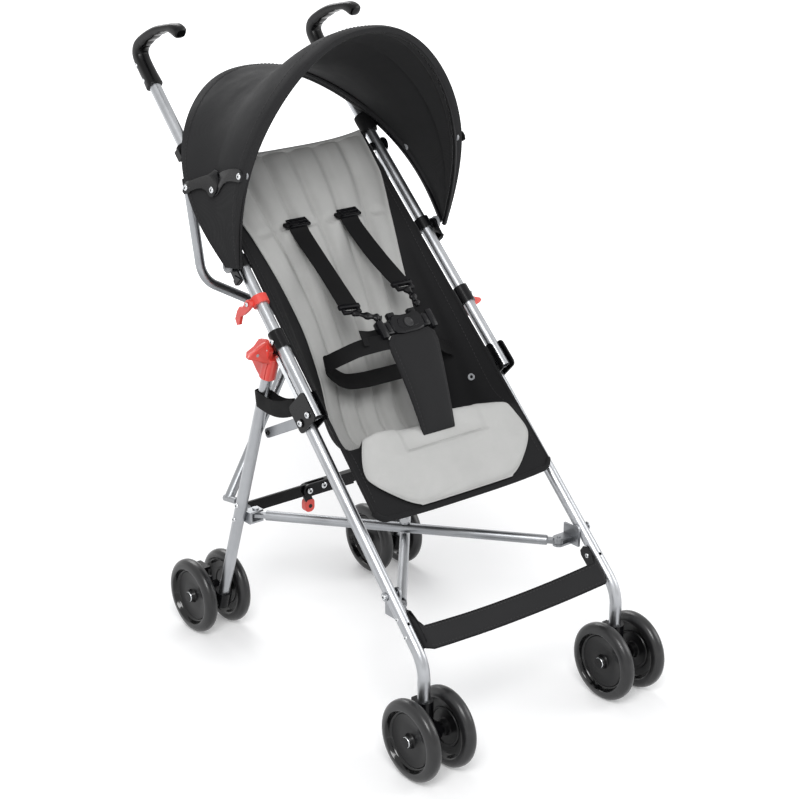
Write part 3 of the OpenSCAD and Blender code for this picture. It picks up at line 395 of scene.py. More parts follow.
def sweep(path, section, side=ACROSS):
    """closed 2-D section along a path; side is the section's first axis, one vector or one per point"""
    path = arr(path)
    n = len(path)
    side = np.broadcast_to(arr(side), (n, 3))
    rings = []
    for i in range(n):
        t = unit(path[min(i + 1, n - 1)] - path[max(i - 1, 0)])
        x = unit(side[i] - t * (side[i] @ t))
        y = np.cross(t, x)
        sec = section(i / (n - 1)) if callable(section) else section
        rings.append([path[i] + x * p[0] + y * p[1] for p in sec])
    return np.array(rings).reshape(-1, 3), capped(n, len(rings[0]))


def turns(n):
    return [2 * pi * i / n for i in range(n)]


def oval(a, b, n=14, p=2.0):
    """ring of a superellipse"""
    return [(a * power(cos(t), 2 / p), b * power(sin(t), 2 / p)) for t in turns(n)]


def lathe(profile, centre, axis, n=24):
    """profile of (radius, height) points turned about an axis; ends on the axis close it"""
    axis = unit(axis)
    x = unit(np.cross(axis, (0, 0, 1) if abs(axis[2]) < 0.9 else (0, 1, 0)))
    y = np.cross(axis, x)
    v, rows = [], []
    for r, h in profile:
        if r < 1e-6:
            rows.append([len(v)] * n)
            v.append(centre + axis * h)
        else:
            rows.append(list(range(len(v), len(v) + n)))
            v += [centre + axis * h + (x * cos(t) + y * sin(t)) * r for t in turns(n)]
    f = []
    for a, b in zip(rows, rows[1:]):
        for i in range(n):
            q = list(dict.fromkeys([a[i], a[(i + 1) % n], b[(i + 1) % n], b[i]]))
            if len(q) > 2:
                f.append(tuple(q))
    return v, f


def disc(bag, centre, axis, r, low, high, n, mat="dark"):
    """flat disc, a little smaller at its top; its default near-black finish is painted shade, a dark sheet
    standing in for the depth of a hole
    """
    bag.add(*lathe([(0, low), (r[0], low), (r[1], high), (0, high)], centre, axis, n), mat)


def rivet(bag, centre, axis, r=5.0, h=2.2, mat="steel"):
    """domed rivet or screw head with a recess, a near-black disc painted as the shade at its bottom"""
    q = r * 0.42
    head = [(0, -1.0), (r * 0.98, -1.0), (r, 0), (r, h * 0.35), (r * 0.9, h * 0.72), (r * 0.68, h * 0.95),
            (q, h), (q * 0.9, h - 0.9), (0, h - 0.9)]
    bag.add(*lathe(head, centre, axis, 20), mat)
    disc(bag, centre, axis, (q * 0.86, q * 0.8), h - 1.0, h - 0.75, 20)


def rivets(name, body, *heads):
    """piece of rivets, each given by its place, axis, radius and height"""
    bag = Bag()
    for head in heads:
        rivet(bag, *head)
    bag.piece(name, body, "steel")


def block(bag, axes, lo, hi, r=1.2, mat="black_plastic"):
    """rounded box in a local frame"""
    bm = bmesh.new()
    bmesh.ops.create_cube(bm, size=1.0)
    lo, hi = arr(lo), arr(hi)
    for v in bm.verts:
        v.co = Vector((lo + hi) / 2 + np.array(v.co) * (hi - lo))
    bmesh.ops.bevel(bm, geom=bm.edges[:], offset=min(r, min(hi - lo) * 0.45), segments=2, affect="EDGES",
                    profile=0.5)
    bm.verts.index_update()
    bag.add([axes(*v.co) for v in bm.verts], [[v.index for v in f.verts] for f in bm.faces], mat)
    bm.free()


def plate(bag, outline, at, thick, inset=0.8, mat="black_plastic"):
    """extruded outline with a small chamfer; at(x, y, h) places it, h from 0 to thick"""
    p = arr(outline)
    t = np.roll(p, -1, 0) - np.roll(p, 1, 0)
    area = sum(a[0] * b[1] - b[0] * a[1] for a, b in zip(p, np.roll(p, -1, 0)))
    nrm = np.stack([-t[:, 1], t[:, 0]], 1) / np.linalg.norm(t, axis=1)[:, None] * copysign(1, area)
    small = p + nrm * inset
    rings = [(small, 0), (p, inset), (p, thick - inset), (small, thick)]
    bag.add([at(x, y, h) for ring, h in rings for x, y in ring], capped(4, len(p)), mat)


class Local:
    """a frame at a point, its first axis across a strap and its second along it"""

    def __init__(self, centre, across, along):
        self.c, self.y = centre, unit(along)
        self.x = unit(across - self.y * (across @ self.y))
        self.z = np.cross(self.x, self.y)

    def __call__(self, a, b, c):
        return self.c + self.x * a + self.y * b + self.z * c


def stitches(bag, path, normal, mat="black_thread", pitch=6.5, length=4.2, r=0.55):
    """row of small thread stitches along a path"""
    path = arr(path)
    s = np.concatenate([[0], np.cumsum(np.linalg.norm(np.diff(path, axis=0), axis=1))])
    normal = np.broadcast_to(arr(normal), path.shape)
    ring = [(1, 0), (0.5, 0.8), (-0.5, 0.8), (-1, 0), (-0.5, -0.8), (0.5, -0.8)]

    def at(d, a):
        return np.array([np.interp(d, s, a[:, i]) for i in range(3)])
    for d in np.arange(pitch / 2, s[-1] - length / 2, pitch):
        a, b, up = at(d - length / 2, path), at(d + length / 2, path), unit(at(d, normal))
        x = unit(np.cross(unit(b - a), up))
        steps = ((a, 0.45), (mix(a, b, 0.2), 1), (mix(a, b, 0.8), 1), (b, 0.45))
        v = [q + up * 0.2 + (x * c + up * e) * r * k for q, k in steps for c, e in ring]
        bag.add(v, capped(4, 6), mat)


def ruffle(x, y, seed=0.0):
    """smooth uneven wave between -1 and 1 for soft folds"""
    return (sin(x + 1.7 * sin(y * 0.6 + seed)) * 0.5 + sin(y * 1.3 + 2.1 * sin(x * 0.7 - seed)) * 0.3
            + sin((x + y) * 2.3 + seed * 3) * 0.2)


def puff(o, pins, pressure, cap):
    """blow a sewn pad up with a cloth run, held at its pinned points, and keep the result in the mesh"""
    me, steps = o.data, 20
    rest = np.array([v.co for v in me.vertices])
    g = o.vertex_groups.new(name="sewn")
    g.add([int(i) for i in np.nonzero(pins)[0]], 1.0, "REPLACE")
    c = o.modifiers.new("puff", "CLOTH")
    s = c.settings
    s.vertex_group_mass = "sewn"
    s.use_pressure, s.uniform_pressure_force = True, pressure
    s.quality, s.mass, s.air_damping = 6, 0.25, 3.0
    s.tension_stiffness = s.compression_stiffness = 18.0
    s.shear_stiffness, s.bending_stiffness = 8.0, 0.4
    s.effector_weights.gravity = 0.0
    c.collision_settings.use_collision = c.collision_settings.use_self_collision = False
    c.point_cache.frame_start, c.point_cache.frame_end = 1, steps
    scene = bpy.context.scene
    for i in range(1, steps + 1):
        scene.frame_set(i)
    dg = bpy.context.evaluated_depsgraph_get()
    d = np.array([v.co for v in o.evaluated_get(dg).data.vertices]) - rest
    o.modifiers.remove(c)
    o.vertex_groups.remove(g)
    scene.frame_set(1)
    d *= np.minimum(1.0, cap * MM / np.maximum(np.linalg.norm(d, axis=1), 1e-9))[:, None]
    me.vertices.foreach_set("co", (rest + d).reshape(-1))
    me.update()


def folds(o):
    """gives a piece its own copy of its mesh"""
    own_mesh(o)
    return o


# camera, light and stage
def aim(o, at, to):
    o.location = at
    o.rotation_euler = (Vector(to) - Vector(at)).to_track_quat("-Z", "Y").to_euler()


def seen_by(nt, *more):
    """1 for camera rays and the other named kinds"""
    rays = node(nt, "LightPath").outputs
    seen = rays["Is Camera Ray"]
    for k in more:
        seen = sums(nt, "MAXIMUM", seen, rays["Is %s Ray" % k])
    return seen


def stage():
    scene = bpy.context.scene
    cam = put("camera", bpy.data.cameras.new("camera"))
    cam.data.sensor_width, cam.data.lens = 36.0, 86.85
    aim(cam, (-1.7402, -2.2471, 1.5021), (0, -0.0493, 0.4412))
    cam.data.clip_start, cam.data.clip_end = 0.05, 60
    scene.camera = cam
    scene.view_settings.view_transform = "Standard"
    world = bpy.data.worlds.new("studio")
    scene.world = world
    world.use_nodes = True
    nt = world.node_tree
    nt.nodes.clear()
    soft = node(nt, "Background", Color=(0.97, 0.98, 1.0, 1), Strength=0.5)
    white = node(nt, "Background", Color=(1, 1, 1, 1), Strength=1.0)
    both = node(nt, "MixShader", in0=seen_by(nt, "Glossy", "Transmission"), in1=soft.outputs[0],
                in2=white.outputs[0])
    node(nt, "OutputWorld", in0=both.outputs[0])
    for name, at, to, size, watts in (
            ("key", (-1.9, -2.3, 3.2), (0, 0, 0.4), 1.6, 92),
            ("fill", (2.6, -1.9, 1.9), (0, 0, 0.5), 1.8, 34),
            ("back", (0.6, 2.6, 2.6), (0, 0, 0.6), 1.8, 46)):
        lamp = bpy.data.lights.new(name, "AREA")
        lamp.size, lamp.energy = size, watts
        aim(put(name, lamp), at, to)
    me = bpy.data.meshes.new("floor")
    me.from_pydata([(-14, -14, 0), (14, -14, 0), (14, 14, 0), (-14, 14, 0)], [], [(0, 1, 2, 3)])
    m, nt, b = new_material("pale_floor")
    fill(nt, b, Base_Color=(0.86, 0.86, 0.86, 1), Roughness=0.9, Specular_IOR_Level=0.1)
    far = node(nt, "VectorMath", _operation="LENGTH", in0=node(nt, "TexCoord").outputs["Object"])
    fade = ranged(nt, far.outputs["Value"], 0.9, 2.4, 0.2, 1.0, _interpolation_type="SMOOTHSTEP")
    shine = sums(nt, "MULTIPLY", seen_by(nt, "Glossy"), fade)
    glow = node(nt, "Emission", Color=(1, 1, 1, 1), Strength=shine)
    total = node(nt, "AddShader", in0=b.outputs[0], in1=glow.outputs[0])
    fill(nt, nt.nodes["Material Output"], in0=total.outputs[0])
    me.materials.append(m)
    put("floor", me)


# finishes and soft edges of the solids that stay; what isn't named here is black plastic
CAD_FINISH = {
    "tube": ["push_tube", "front_leg", "rear_leg"], "brace": ["rear_brace", "cross_bar", "front_yoke"],
    "red_plastic": ["hinge_housing", "storage_clamp", "storage_hook"], "steel": ["side_link", "brace_pin"]}


def dress_cad():
    for name, o in NODES.items():
        finish = next((f for f, ks in CAD_FINISH.items() if any(k in name for k in ks)), "black_plastic")
        o.data.materials.clear()
        o.data.materials.append(M[finish])
        w = o.modifiers.new("weld", "WELD")
        w.merge_threshold = 1e-6
        bv = o.modifiers.new("soft_edge", "BEVEL")
        bv.width, bv.segments, bv.limit_method, bv.angle_limit = 0.5 * MM, 2, "ANGLE", radians(40)
        wn = o.modifiers.new("even_normals", "WEIGHTED_NORMAL")
        wn.mode, wn.weight, wn.keep_sharp = "FACE_AREA", 100, False
        o.data.shade_smooth()


# wheels
def wheels():
    """hollow tyres round a deep dish, the outer face with a flat disc, and bright caps on the axle ends; the
    walls of the dish have a darker black, painted shade
    """
    turn = [pi * (i / 28 - 0.5) for i in range(29)]
    tread = [(48.2 + 14.3 * abs(cos(t)) ** (2 / 2.3), 11.4 * power(sin(t), 2 / 2.3)) for t in turn]
    outer = [
        (47.4, 11.0), (46.6, 9.8), (45.4, 5.0), (44.2, 2.6), (43.2, 1.9), (42.2, 1.9), (41.4, 2.8),
        (40.4, 3.1), (39.4, 2.7), (38.6, 2.1), (22.0, 2.3), (12.0, 2.7), (10.8, 4.0), (10.2, 7.4),
        (9.6, 8.4), (4.2, 8.4)]
    inner = [
        (4.2, -11.0), (11.2, -11.0), (12.2, -10.2), (12.6, -3.4), (14.0, -2.2), (27.5, -2.0), (28.5, -3.4),
        (30.5, -3.6), (31.6, -2.2), (39.0, -2.2), (42.0, -3.2), (44.0, -5.4), (45.6, -9.2), (46.6, -10.4),
        (47.4, -11.0)]
    cap = [(0, -0.2), (8.6, -0.2), (8.9, 0.6), (8.7, 2.2), (7.8, 3.2), (5.6, 3.7), (2.6, 3.9), (2.2, 3.5),
           (0, 3.5)]
    n, hub = 80, len(outer) + len(inner) - 1

    # rows of the dish walls take the darker black, painted shade of the recess
    def part(row):
        if row >= hub:
            return "tread"
        return "wheel" if 5 <= row < hub - 4 else "gloss_black"
    for end, x0, y0, body in (("f", FRONT_X, FRONT_Y, "caster"), ("r", REAR_X, REAR_Y, "rear")):
        for side, k in SIDES:
            caps = Bag()
            for out, w in ((1, "out"), (-1, "in")):
                c, axis = vec(side * (x0 + out * WHEEL_PITCH / 2), y0, WHEEL_R), ACROSS * side * out
                v, f = lathe(outer + inner + tread + outer[:1], c, axis, n)
                bag = Bag()
                for mat in ("wheel", "gloss_black", "tread"):
                    bag.add(v, [q for q in f if part(min(q) // n) == mat], mat)
                name = "wheel_%s%s_%s" % (end, k[0], w)
                bag.piece(name + "_dressed", name, "wheel", name)
                caps.add(*lathe(cap, c + axis * CAP_SEAT, axis, 28), "steel")
                # near-black disc painted as the shade in the cap's middle hole
                disc(caps, c + axis * CAP_SEAT, axis, (2.1, 2.0), 3.3, 3.6, 16)
            caps.piece("%s_%s_axle_caps" % (k, body), "%s_%s" % (k, body), "steel")


# handles
def grips():
    """rubber handles: a sleeve on the tube, a sharp bend and a slim bar with finger ribs and a hooked end"""
    line = [
        (0, -66, 12.2, 11.6), (0, -64.5, 12.9, 12.3), (0, -60, 12.8, 12.2), (0, -44, 12.0, 11.6),
        (0, -28, 11.8, 11.5), (-0.6, -15, 11.9, 11.7), (-3.4, -5.0, 12.0, 11.8), (-10.5, 1.0, 12.2, 11.2),
        (-21, 2.6, 12.3, 10.2), (-36.5, -0.5, 12.2, 9.4), (-55, -6.2, 12.0, 8.6), (-73.6, -13.7, 11.6, 7.7),
        (-88, -21.4, 11.2, 6.7), (-99.9, -28.9, 10.8, 6.2), (-107, -34.4, 10.6, 6.9),
        (-113, -40.6, 10.6, 8.6), (-117.4, -47.0, 10.6, 9.8), (-120.2, -53.0, 10.4, 10.0),
        (-121.4, -56.6, 9.6, 9.2), (-121.8, -58.6, 7.6, 7.2), (-122.0, -59.4, 3.0, 3.0)]
    rows = np.concatenate([smooth_path(line[:18], 150), arr(line[18:])])
    n = len(rows)
    bend, lip = (next(i for i, r in enumerate(rows) if r[0] < y) for y in (-24, -96))
    for side, k in SIDES:
        ax = push_axes(PUSH_LEN - 3.5, side)
        pts = [ax(0, r[0], r[1]) for r in rows]
        t = unit(pts[bend + 6] - pts[bend + 4])
        down = np.cross(t, unit(ACROSS - t * t[0]))
        under = 1 if np.dot(down, ax.dir(0, 0.4, -0.9)) > 0 else -1

        def section(q):
            i = int(round(q * (n - 1)))
            a, b = rows[i][2:]
            ring = []
            for x, y in oval(a, b, 36, 2.9):
                low = max(0.0, under * y / b) if bend < i < lip else 0.0
                rib = 1.0 - 0.13 * low * (0.5 + 0.5 * cos((i - bend) * 2 * pi / 11)) ** 2
                groove = 0.5 if i < bend and abs(abs(x) / a - 0.62) < 0.16 and abs(y) > b * 0.5 else 0.0
                ring.append((x * (1 - 0.02 * low), y * rib - copysign(groove, y)))
            return ring
        bag = Bag().add(*sweep(pts, section), "grip")
        bag.piece(k + "_grip_rubber", k + "_side", "grip", k + "_grip", sharp=30)
        screws = [(ax(11.4, 4.6, z), ax.dir(0.93, 0.37, 0), 4.0, 1.8) for z in (-50, -20)]
        rivets(k + "_grip_screws", k + "_side", *screws)


# seat
def seat_v(v, u):
    """rounded front corners of the seat cloth"""
    e = min(1.0, max(0.0, (abs(u) - 0.89) / 0.11))
    end = SEAT_END - 0.28 * (1 - sqrt(1 - e * e))
    return v if v < 10 else 10 + (v - 10) * (end - 10) / (SEAT_END - 10)


def wing_pt(v, u, lift):
    """seat surface with soft folds and the rolled edge of the wings"""
    wave = 1.3 * ruffle(v * 2.1 + 3, u * 5, 0.4) * (1 - abs(u) ** 6) * min(1.0, abs(u) * 1.6)
    roll = 6.0 * bell(abs(u), 0.9, 0.06)
    for x in (v - 2, 8.4 - v):
        roll *= min(1.0, max(0.0, x / 1.2))
    return seat_pt(seat_v(v, u), u, wave + lift) - vec(copysign(roll, u), 0, 0)


def seat_cover():
    vs = np.concatenate([linspace(0, 7.5, 76), linspace(7.6, SEAT_END, 64)])
    us = np.sin(linspace(-pi / 2, pi / 2, 65))
    top = [[wing_pt(v, u, 0) for u in us] for v in vs]
    under = [[wing_pt(v, u, -SLING_T) + vec(SLING_T * u * abs(u), 0, 0) for u in us] for v in vs]
    bag = Bag().add(*slab(top, under), "black_cloth")
    cover = bag.piece("seat_cover", "left_side", "black_cloth", "seat_sling", sharp=60)
    trim = Bag()
    for side in (-1, 1):
        edge = [seat_pt(v, side) + ACROSS * 0.4 * side - LIFT * 1.2 for v in linspace(0, SEAT_END - 0.3, 130)]
        trim.add(*sweep(edge, oval(2.6, 2.2, 10)), "black_cloth")
        stitches(trim, [wing_pt(v, side * 0.945, 0.3) for v in linspace(0.1, SEAT_END - 0.5, 150)], LIFT)
    front = [seat_pt(seat_v(SEAT_END, u), u, -1.5) for u in np.sin(linspace(-pi / 2, pi / 2, 90))]
    trim.add(*sweep(front, oval(5.2, 4.2, 14), side=LIFT), "black_cloth")
    for a, b, mat, r, up in ((-1, -0.94, "black_cloth", 2.8, -1.2), (-0.95, 0.95, "grey_cloth", 5.2, 3.0),
                             (0.94, 1, "black_cloth", 2.8, -1.2)):
        head = [seat_pt(0, u, up) for u in linspace(a, b, 40)]
        trim.add(*sweep(head, oval(r, r * 0.85, 16), side=LIFT), mat)
    rim = trim.piece("seat_binding", "left_side", "black_cloth")
    for o in (cover, rim):
        folds(o)


PAD_LOW = CLOTH_GAP + 1.0
PANELS = 6


def sewn_pad(name, replaced, mat, vs, at, thick, under, sewn, pressure, cap):
    """pad between at(v, q, thick) and at(v, q, under), blown up between the points where it is sewn"""
    qs = linspace(-1, 1, 97)
    grids = ([[at(v, q, up(v, q)) for q in qs] for v in vs] for up in (thick, under))
    pins = np.array([[v in (vs[0], vs[-1]) or sewn(v, q) for q in qs] for v in vs])
    o = Bag().add(*slab(*grids), mat).piece(name, "left_side", "grey_cloth", replaced, sharp=80)
    puff(o, np.concatenate([pins.reshape(-1), np.ones(pins.size, bool)]), pressure, cap)
    return folds(o)


def sew_grey(bag, line, r=0.45):
    stitches(bag, line, LIFT, "grey_thread", pitch=6, length=3.8, r=r)


def back_pad():
    """quilted grey pad: six channels sewn from head to seat and one seam across at the strap slots"""
    v0, v1, seam_v = 0.03, 7.62, 2.0

    def end(v):
        return abs(2 * (v - v0) / (v1 - v0) - 1)

    def groove(q):
        return abs(cos(pi / 2 * PANELS * q))

    def half(v):
        wide = np.interp(v, [0, 1, 1.5, 2, 3, 4], [14, 17, 13, 9, 4, 0])
        return (seat_row(v)[3] + wide) * (1 - 0.1 * end(v) ** 9 * (v > 4))

    def thick(v, q):
        pucker = 0.8 * bell(v, seam_v, 0.22) * sin(q * 38)
        wave = 1.3 * ruffle(v * 2.6, q * 3.1, 1.3) + pucker
        sunk = 8.4 * max(groove(q) ** 6, 0.85 * bell(v, seam_v, 0.06))
        return 1.5 + (1 - abs(q) ** 8) * (1 - 0.7 * end(v) ** 14) * (PAD_T - 1.5 + wave - sunk)

    def at(v, q, up):
        return seat_pt(v, q * half(v) / seat_edge(v), PAD_LOW + up)

    def sewn(v, q):
        return groove(q) > 0.985 or abs(q) > 0.985 or abs(v - seam_v) < 0.05
    o = sewn_pad("back_pad_quilted", "back_pad", "grey_cloth", linspace(v0, v1, 126), at, thick,
                 lambda v, q: 0, sewn, 3.0, 4.5)
    sew = Bag()
    for i in range(1, PANELS):
        q = -1 + 2 * i / PANELS
        sew_grey(sew, [at(v, q, thick(v, q) + 0.4) for v in linspace(0.15, 7.4, 140)])
    sew_grey(sew, [at(seam_v, q, thick(seam_v, q) + 0.5) for q in linspace(-0.94, 0.94, 120)])
    for side in (-1, 1):
        edge = [at(v, side, 0.6) for v in linspace(v0, v1, 150)]
        sew.add(*sweep(edge, oval(1.6, 1.5, 10)), "grey_cloth")
    folds(sew.piece("back_pad_seams", "left_side", "grey_cloth"))


def front_pad():
    """grey pad over the front edge, with a sunk middle where the crotch pad comes through"""
    v0, v1, low = 8.0, 11.04, PAD_LOW + 1.8
    sunk_v, sunk_x, fold_v = 9.66, 77.0, 8.95
    lobe_q = [-1, -0.85, -0.5, -0.3, 0.12, 0.26, 0.45, 0.7, 0.9, 1]
    lobe_z = [8, 10, 5, 1, 1, 13, 11, 7, 2, 0]
    shape = smooth_path([(8, 106), (8.2, 120), (8.6, 133), (9, 143), (9.5, 154), (9.78, 157), (10, 154),
                         (10.3, 141), (10.7, 114), (v1, 88)], 300)

    def half(v):
        return float(np.interp(v, shape[:, 0], shape[:, 1]))

    def soft(x, a, w):
        return 1 / (1 + exp((x - a) / w))

    def lobe(v, q):
        return bell(v, fold_v, 0.42) * np.interp(q, lobe_q, lobe_z)

    def curl(v, q):
        return 12.0 * bell(v, 8.72, 0.42) * max(0.0, (abs(q) - 0.55) / 0.45) ** 2

    def thick(v, q):
        e, x = (v - v0) / (v1 - v0), q * half(v)
        ends, sides = 1 - abs(2 * e - 1) ** 12, 1 - abs(q) ** 10
        sunk = soft(v, sunk_v, 0.02) * soft(8.72, v, 0.05) * soft(abs(x), sunk_x, 2.2)
        near = bell(v, fold_v, 0.28) * (1.1 * sin(x * 0.11) + 1.2 * sin(x * 0.045 + 5 * v))
        wave = 1.2 * ruffle(v * 3.0, q * 3.7, 0.2) + near
        crease = 1.6 * bell(v, sunk_v + 0.06, 0.05) * soft(abs(x), sunk_x + 6, 3)
        return 1.2 + sides * ends * (9.0 + wave - 6.4 * sunk + crease) + curl(v, q) * ends

    def at(v, q, up):
        return seat_pt(v, q * half(v) / seat_edge(min(v, SEAT_LAST)), low + up) + vec(0, 0, lobe(v, q))

    def sewn(v, q):
        x = abs(q * half(v))
        if abs(v - sunk_v) < 0.03 and x < sunk_x:
            return True
        return abs(q) == 1 or 8.75 < v < sunk_v and abs(x - sunk_x) < 3
    o = sewn_pad("front_pad_padded", "front_pad", "front_cloth", linspace(v0, v1, 96), at, thick,
                 lambda v, q: 0.82 * curl(v, q), sewn, 2.5, 5.0)
    sew = Bag()
    seam = sunk_v - 0.03
    line = [at(seam, q, thick(seam, q) + 0.5) for q in linspace(3 - sunk_x, sunk_x - 3, 50) / half(sunk_v)]
    sew_grey(sew, line, r=0.4)
    sides = [[at(v, q, 0.82 * curl(v, 1) + 0.6) for v in linspace(8.02, v1, 90)] for q in (-1, 1)]
    rim = sides[0] + [at(v1, q, 0.6) for q in linspace(-0.98, 0.98, 60)] + sides[1][::-1]
    sew.add(*sweep(rim, oval(1.3, 1.2, 10), side=LIFT), "front_cloth")
    folds(sew.piece("front_pad_seams", "left_side", "grey_cloth"))


# harness
def strap(bag, pts, widths, w=25.0, t=1.9, n=48):
    """flat webbing through points, with the direction of its width at each"""
    p, d = smooth_path(pts, n), smooth_path(widths, n)
    bag.add(*sweep(p, oval(w / 2, t / 2, 16, 5.0), side=d), "webbing")
    return p, d


def adjuster(bag, at):
    """plastic slide with a middle bar"""
    for a, b in ((-9.5, -5), (-2.2, 2.2), (5, 9.5)):
        block(bag, at, (-19, a, -2.2), (19, b, 2.8), r=1.3)
    for a in (-19, 15):
        block(bag, at, (a, -9.5, -2.2), (a + 4, 9.5, 2.8), r=1.3)


def harness():
    """five-point harness: wide shoulder straps with hooks, a looped waist strap and the buckle"""
    def at(x, s, h):
        return middle_pt(s, h) + vec(x, 0, 0)

    def by_buckle(x, s, h):
        return at(BUCKLE_X + x, BUCKLE_S + s, BUCKLE_UP + h)
    bag = Bag()
    for side, mid, end, to in ((-1, at(-55, 222, 18), at(-65, 150, 39), at(-30, 114, 50)),
                               (1, at(50, 236, 14), at(47, 168, 39), at(45, 120, 50))):
        pad = [seat_pt(v, side * 0.31, PAD_T + up)
               for v, up in ((1.9, PAD_LOW - 3), (2.02, PAD_LOW + 3), (2.3, 8))]
        widths = [ACROSS] * 3 + [ACROSS + 0.08 * side * LIFT, ACROSS]
        p, d = strap(bag, pad + [mid, end], widths, w=34.0, t=2.6)
        adjuster(bag, Local(p[9] + LIFT * 1.6 + ACROSS * 3, d[9], p[10] - p[8]))
        block(bag, Local(p[4], d[4], p[5] - p[3]), (-22, -9, -1.0), (4, 10, 4.4), r=1.4, mat="webbing")
        tip = Local(p[-1], d[-1], p[-1] - p[-2])
        block(bag, tip, (-18.5, -5, -3.4), (18.5, 3.5, 3.4), r=1.6)
        for a in (-16, 10):
            block(bag, tip, (a, 1, -2.6), (a + 6, 12, 2.6), r=1.6)
        block(bag, tip, (-16, 9, -3.0), (16, 14.5, 3.0), r=1.8)
        way = [mix(tip(0, 18, 0), to, k) + LIFT * up for k, up in ((0.35, 3), (0.75, 2))]
        hook = smooth_path([tip(0, 12, 0), *way, to], 40)
        bag.add(*sweep(hook, lambda q: oval(5.2 + 1.5 * sin(q * 19), 3.6 + 0.9 * sin(q * 19), 14, 2.6)),
                "black_plastic")
    top = [
        (-34, 90, 46), (-58, 91, 46), (-81, 96, 34), (-101, 99, 14), (-111, 103, -8), (-110, 106, -18),
        (-104, 101, -26), (-89, 94, -36), (-67, 81, -42), (-34, 77, -46), (0, 77, -48), (39, 76, -48),
        (70, 78, -50)]
    low = [
        (-34, 62, 46), (-58, 63, 46), (-85, 66, 34), (-106, 69, 14), (-117, 74, -8), (-118, 77, -18),
        (-113, 75, -26), (-101, 64, -36), (-83, 51, -42), (-49, 48, -46), (-15, 48, -48), (25, 48, -48),
        (58, 50, -50)]
    a, b = (smooth_path([at(*p) for p in q], 130) for q in (top, low))
    bag.add(*sweep((a + b) / 2, oval(13.5, 0.95, 16, 5.0), side=a - b), "webbing")
    hidden = [by_buckle(44, -3, -2), seat_pt(5.0, 0.52, 62), seat_pt(5.1, 0.68, 30), seat_pt(5.15, 0.8, 9)]
    strap(bag, hidden, [ALONG] * 4)
    flap = [by_buckle(-40, -5, -5), by_buckle(-62, -6, -7), by_buckle(-86, -3, -2)]
    strap(bag, flap, [ALONG, ALONG, ALONG + 0.25 * ACROSS], w=27.0, n=16)
    folds(bag.piece("harness_webbing", "left_side", "webbing", "harness"))
    ax = Axes(by_buckle(0, 0, 0), ALONG)
    b = Bag()
    out = [(-26, -12), (-14, -15), (14, -15), (26, -12), (30, -6), (30, 9), (26, 16), (16, 19), (7, 16),
           (-7, 16), (-16, 19), (-26, 16), (-30, 9), (-30, -6)]
    plate(b, out, lambda x, y, h: ax(x, 8 - h, y), 16, inset=2.2)
    plate(b, [(0.62 * x, 0.55 * y) for x, y in out], lambda x, y, h: ax(x, -7.6 - h, y), 1.4, inset=0.6)
    for side in (-1, 1):
        for x0, x1, y0, y1, z0, z1, r in (
                (27, 48, -5, 6, -11, 11, 3.0), (41, 53, -6.6, 7.4, -15.5, 15.5, 2.6),
                (31, 39, -6.4, -4, -7, 7, 1.1), (13, 27, -4.5, 4.5, 12, 25, 2.2)):
            lo, hi = sorted((side * x0, side * x1))
            block(b, ax, (lo, y0, z0), (hi, y1, z1), r=r)
    folds(b.piece("buckle_body", "left_side", "black_plastic", "buckle"))
    push = [(0, -2.0), (8.2, -2.0), (8.4, 0), (7.9, 0.9), (6.4, 1.0), (5.6, 0.3), (0, 0.1)]
    c = Bag().add(*lathe(push, ax(0, -9.4, 0), ax.dir(0, -1, 0), 28), "button")
    c.piece("buckle_push", "buckle_button", "button", "buckle_button")


def crotch_pad():
    foot = middle_pt(-74, 15) + vec(-5, 0, 0)
    head = middle_pt(BUCKLE_S - 12, BUCKLE_UP + 1) + vec(BUCKLE_X, 0, 0)
    ks, js = linspace(0, 1, 52), linspace(-1, 1, 33)
    bow = unit(np.cross(head - foot, ACROSS))
    bow = bow if bow[1] < 0 else -bow

    def at(k, j, s):
        w = np.interp(k, [0, 0.03, 0.45, 0.85, 0.94, 1.0], [30.0, 31.0, 38.0, 46.0, 45.0, 35.0])
        full = (1 - abs(j) ** 6) * (1 - abs(2 * k - 1) ** 10)
        th = 2.0 + 7.0 * full - (1.8 if 0.82 < abs(j) < 0.9 else 0.0) + 0.7 * full * ruffle(k * 7, j * 3, 0.8)
        rise = (9 - 5.5 * abs(j) ** 3) * sin(pi * k) + s * th * 0.6
        return mix(foot, head, k) + vec(j * w, 0, 0) + bow * rise
    bag = Bag().add(*slab(*([[at(k, j, s) for j in js] for k in ks] for s in (1, -1))), "pad_cloth")
    for j in (-0.86, 0.86):
        stitches(bag, [at(k, j, 1) for k in linspace(0.04, 0.9, 60)], bow)
    strap(bag, [mix(foot, head, 0.06), foot - LIFT * 5, foot - LIFT * 9], [ACROSS] * 3, w=40.0, n=8)
    o = bag.piece("crotch_pad_padded", "left_side", "webbing", "crotch_pad", sharp=60)
    folds(o)


# canopy
def canopy_pt(k, t, grow):
    """cloth surface, fuller over the front bow, with soft draw lines near its clips"""
    g = sin(radians(t))
    full = (2.0 + 6.0 * abs(cos(radians(t)))) * max(0.0, 1 - k / 0.5) * min(1.0, g / 0.4)
    p = bow_at(k, t, grow + full)
    pull = 1.6 * sin(k * pi) * ruffle(k * 5.0, t * 0.11, 0.9) * (0.35 + 0.65 * (1 - g) ** 2)
    return p + unit(p - vec(0, CANOPY_PT[1] + 30, CANOPY_PT[2])) * pull


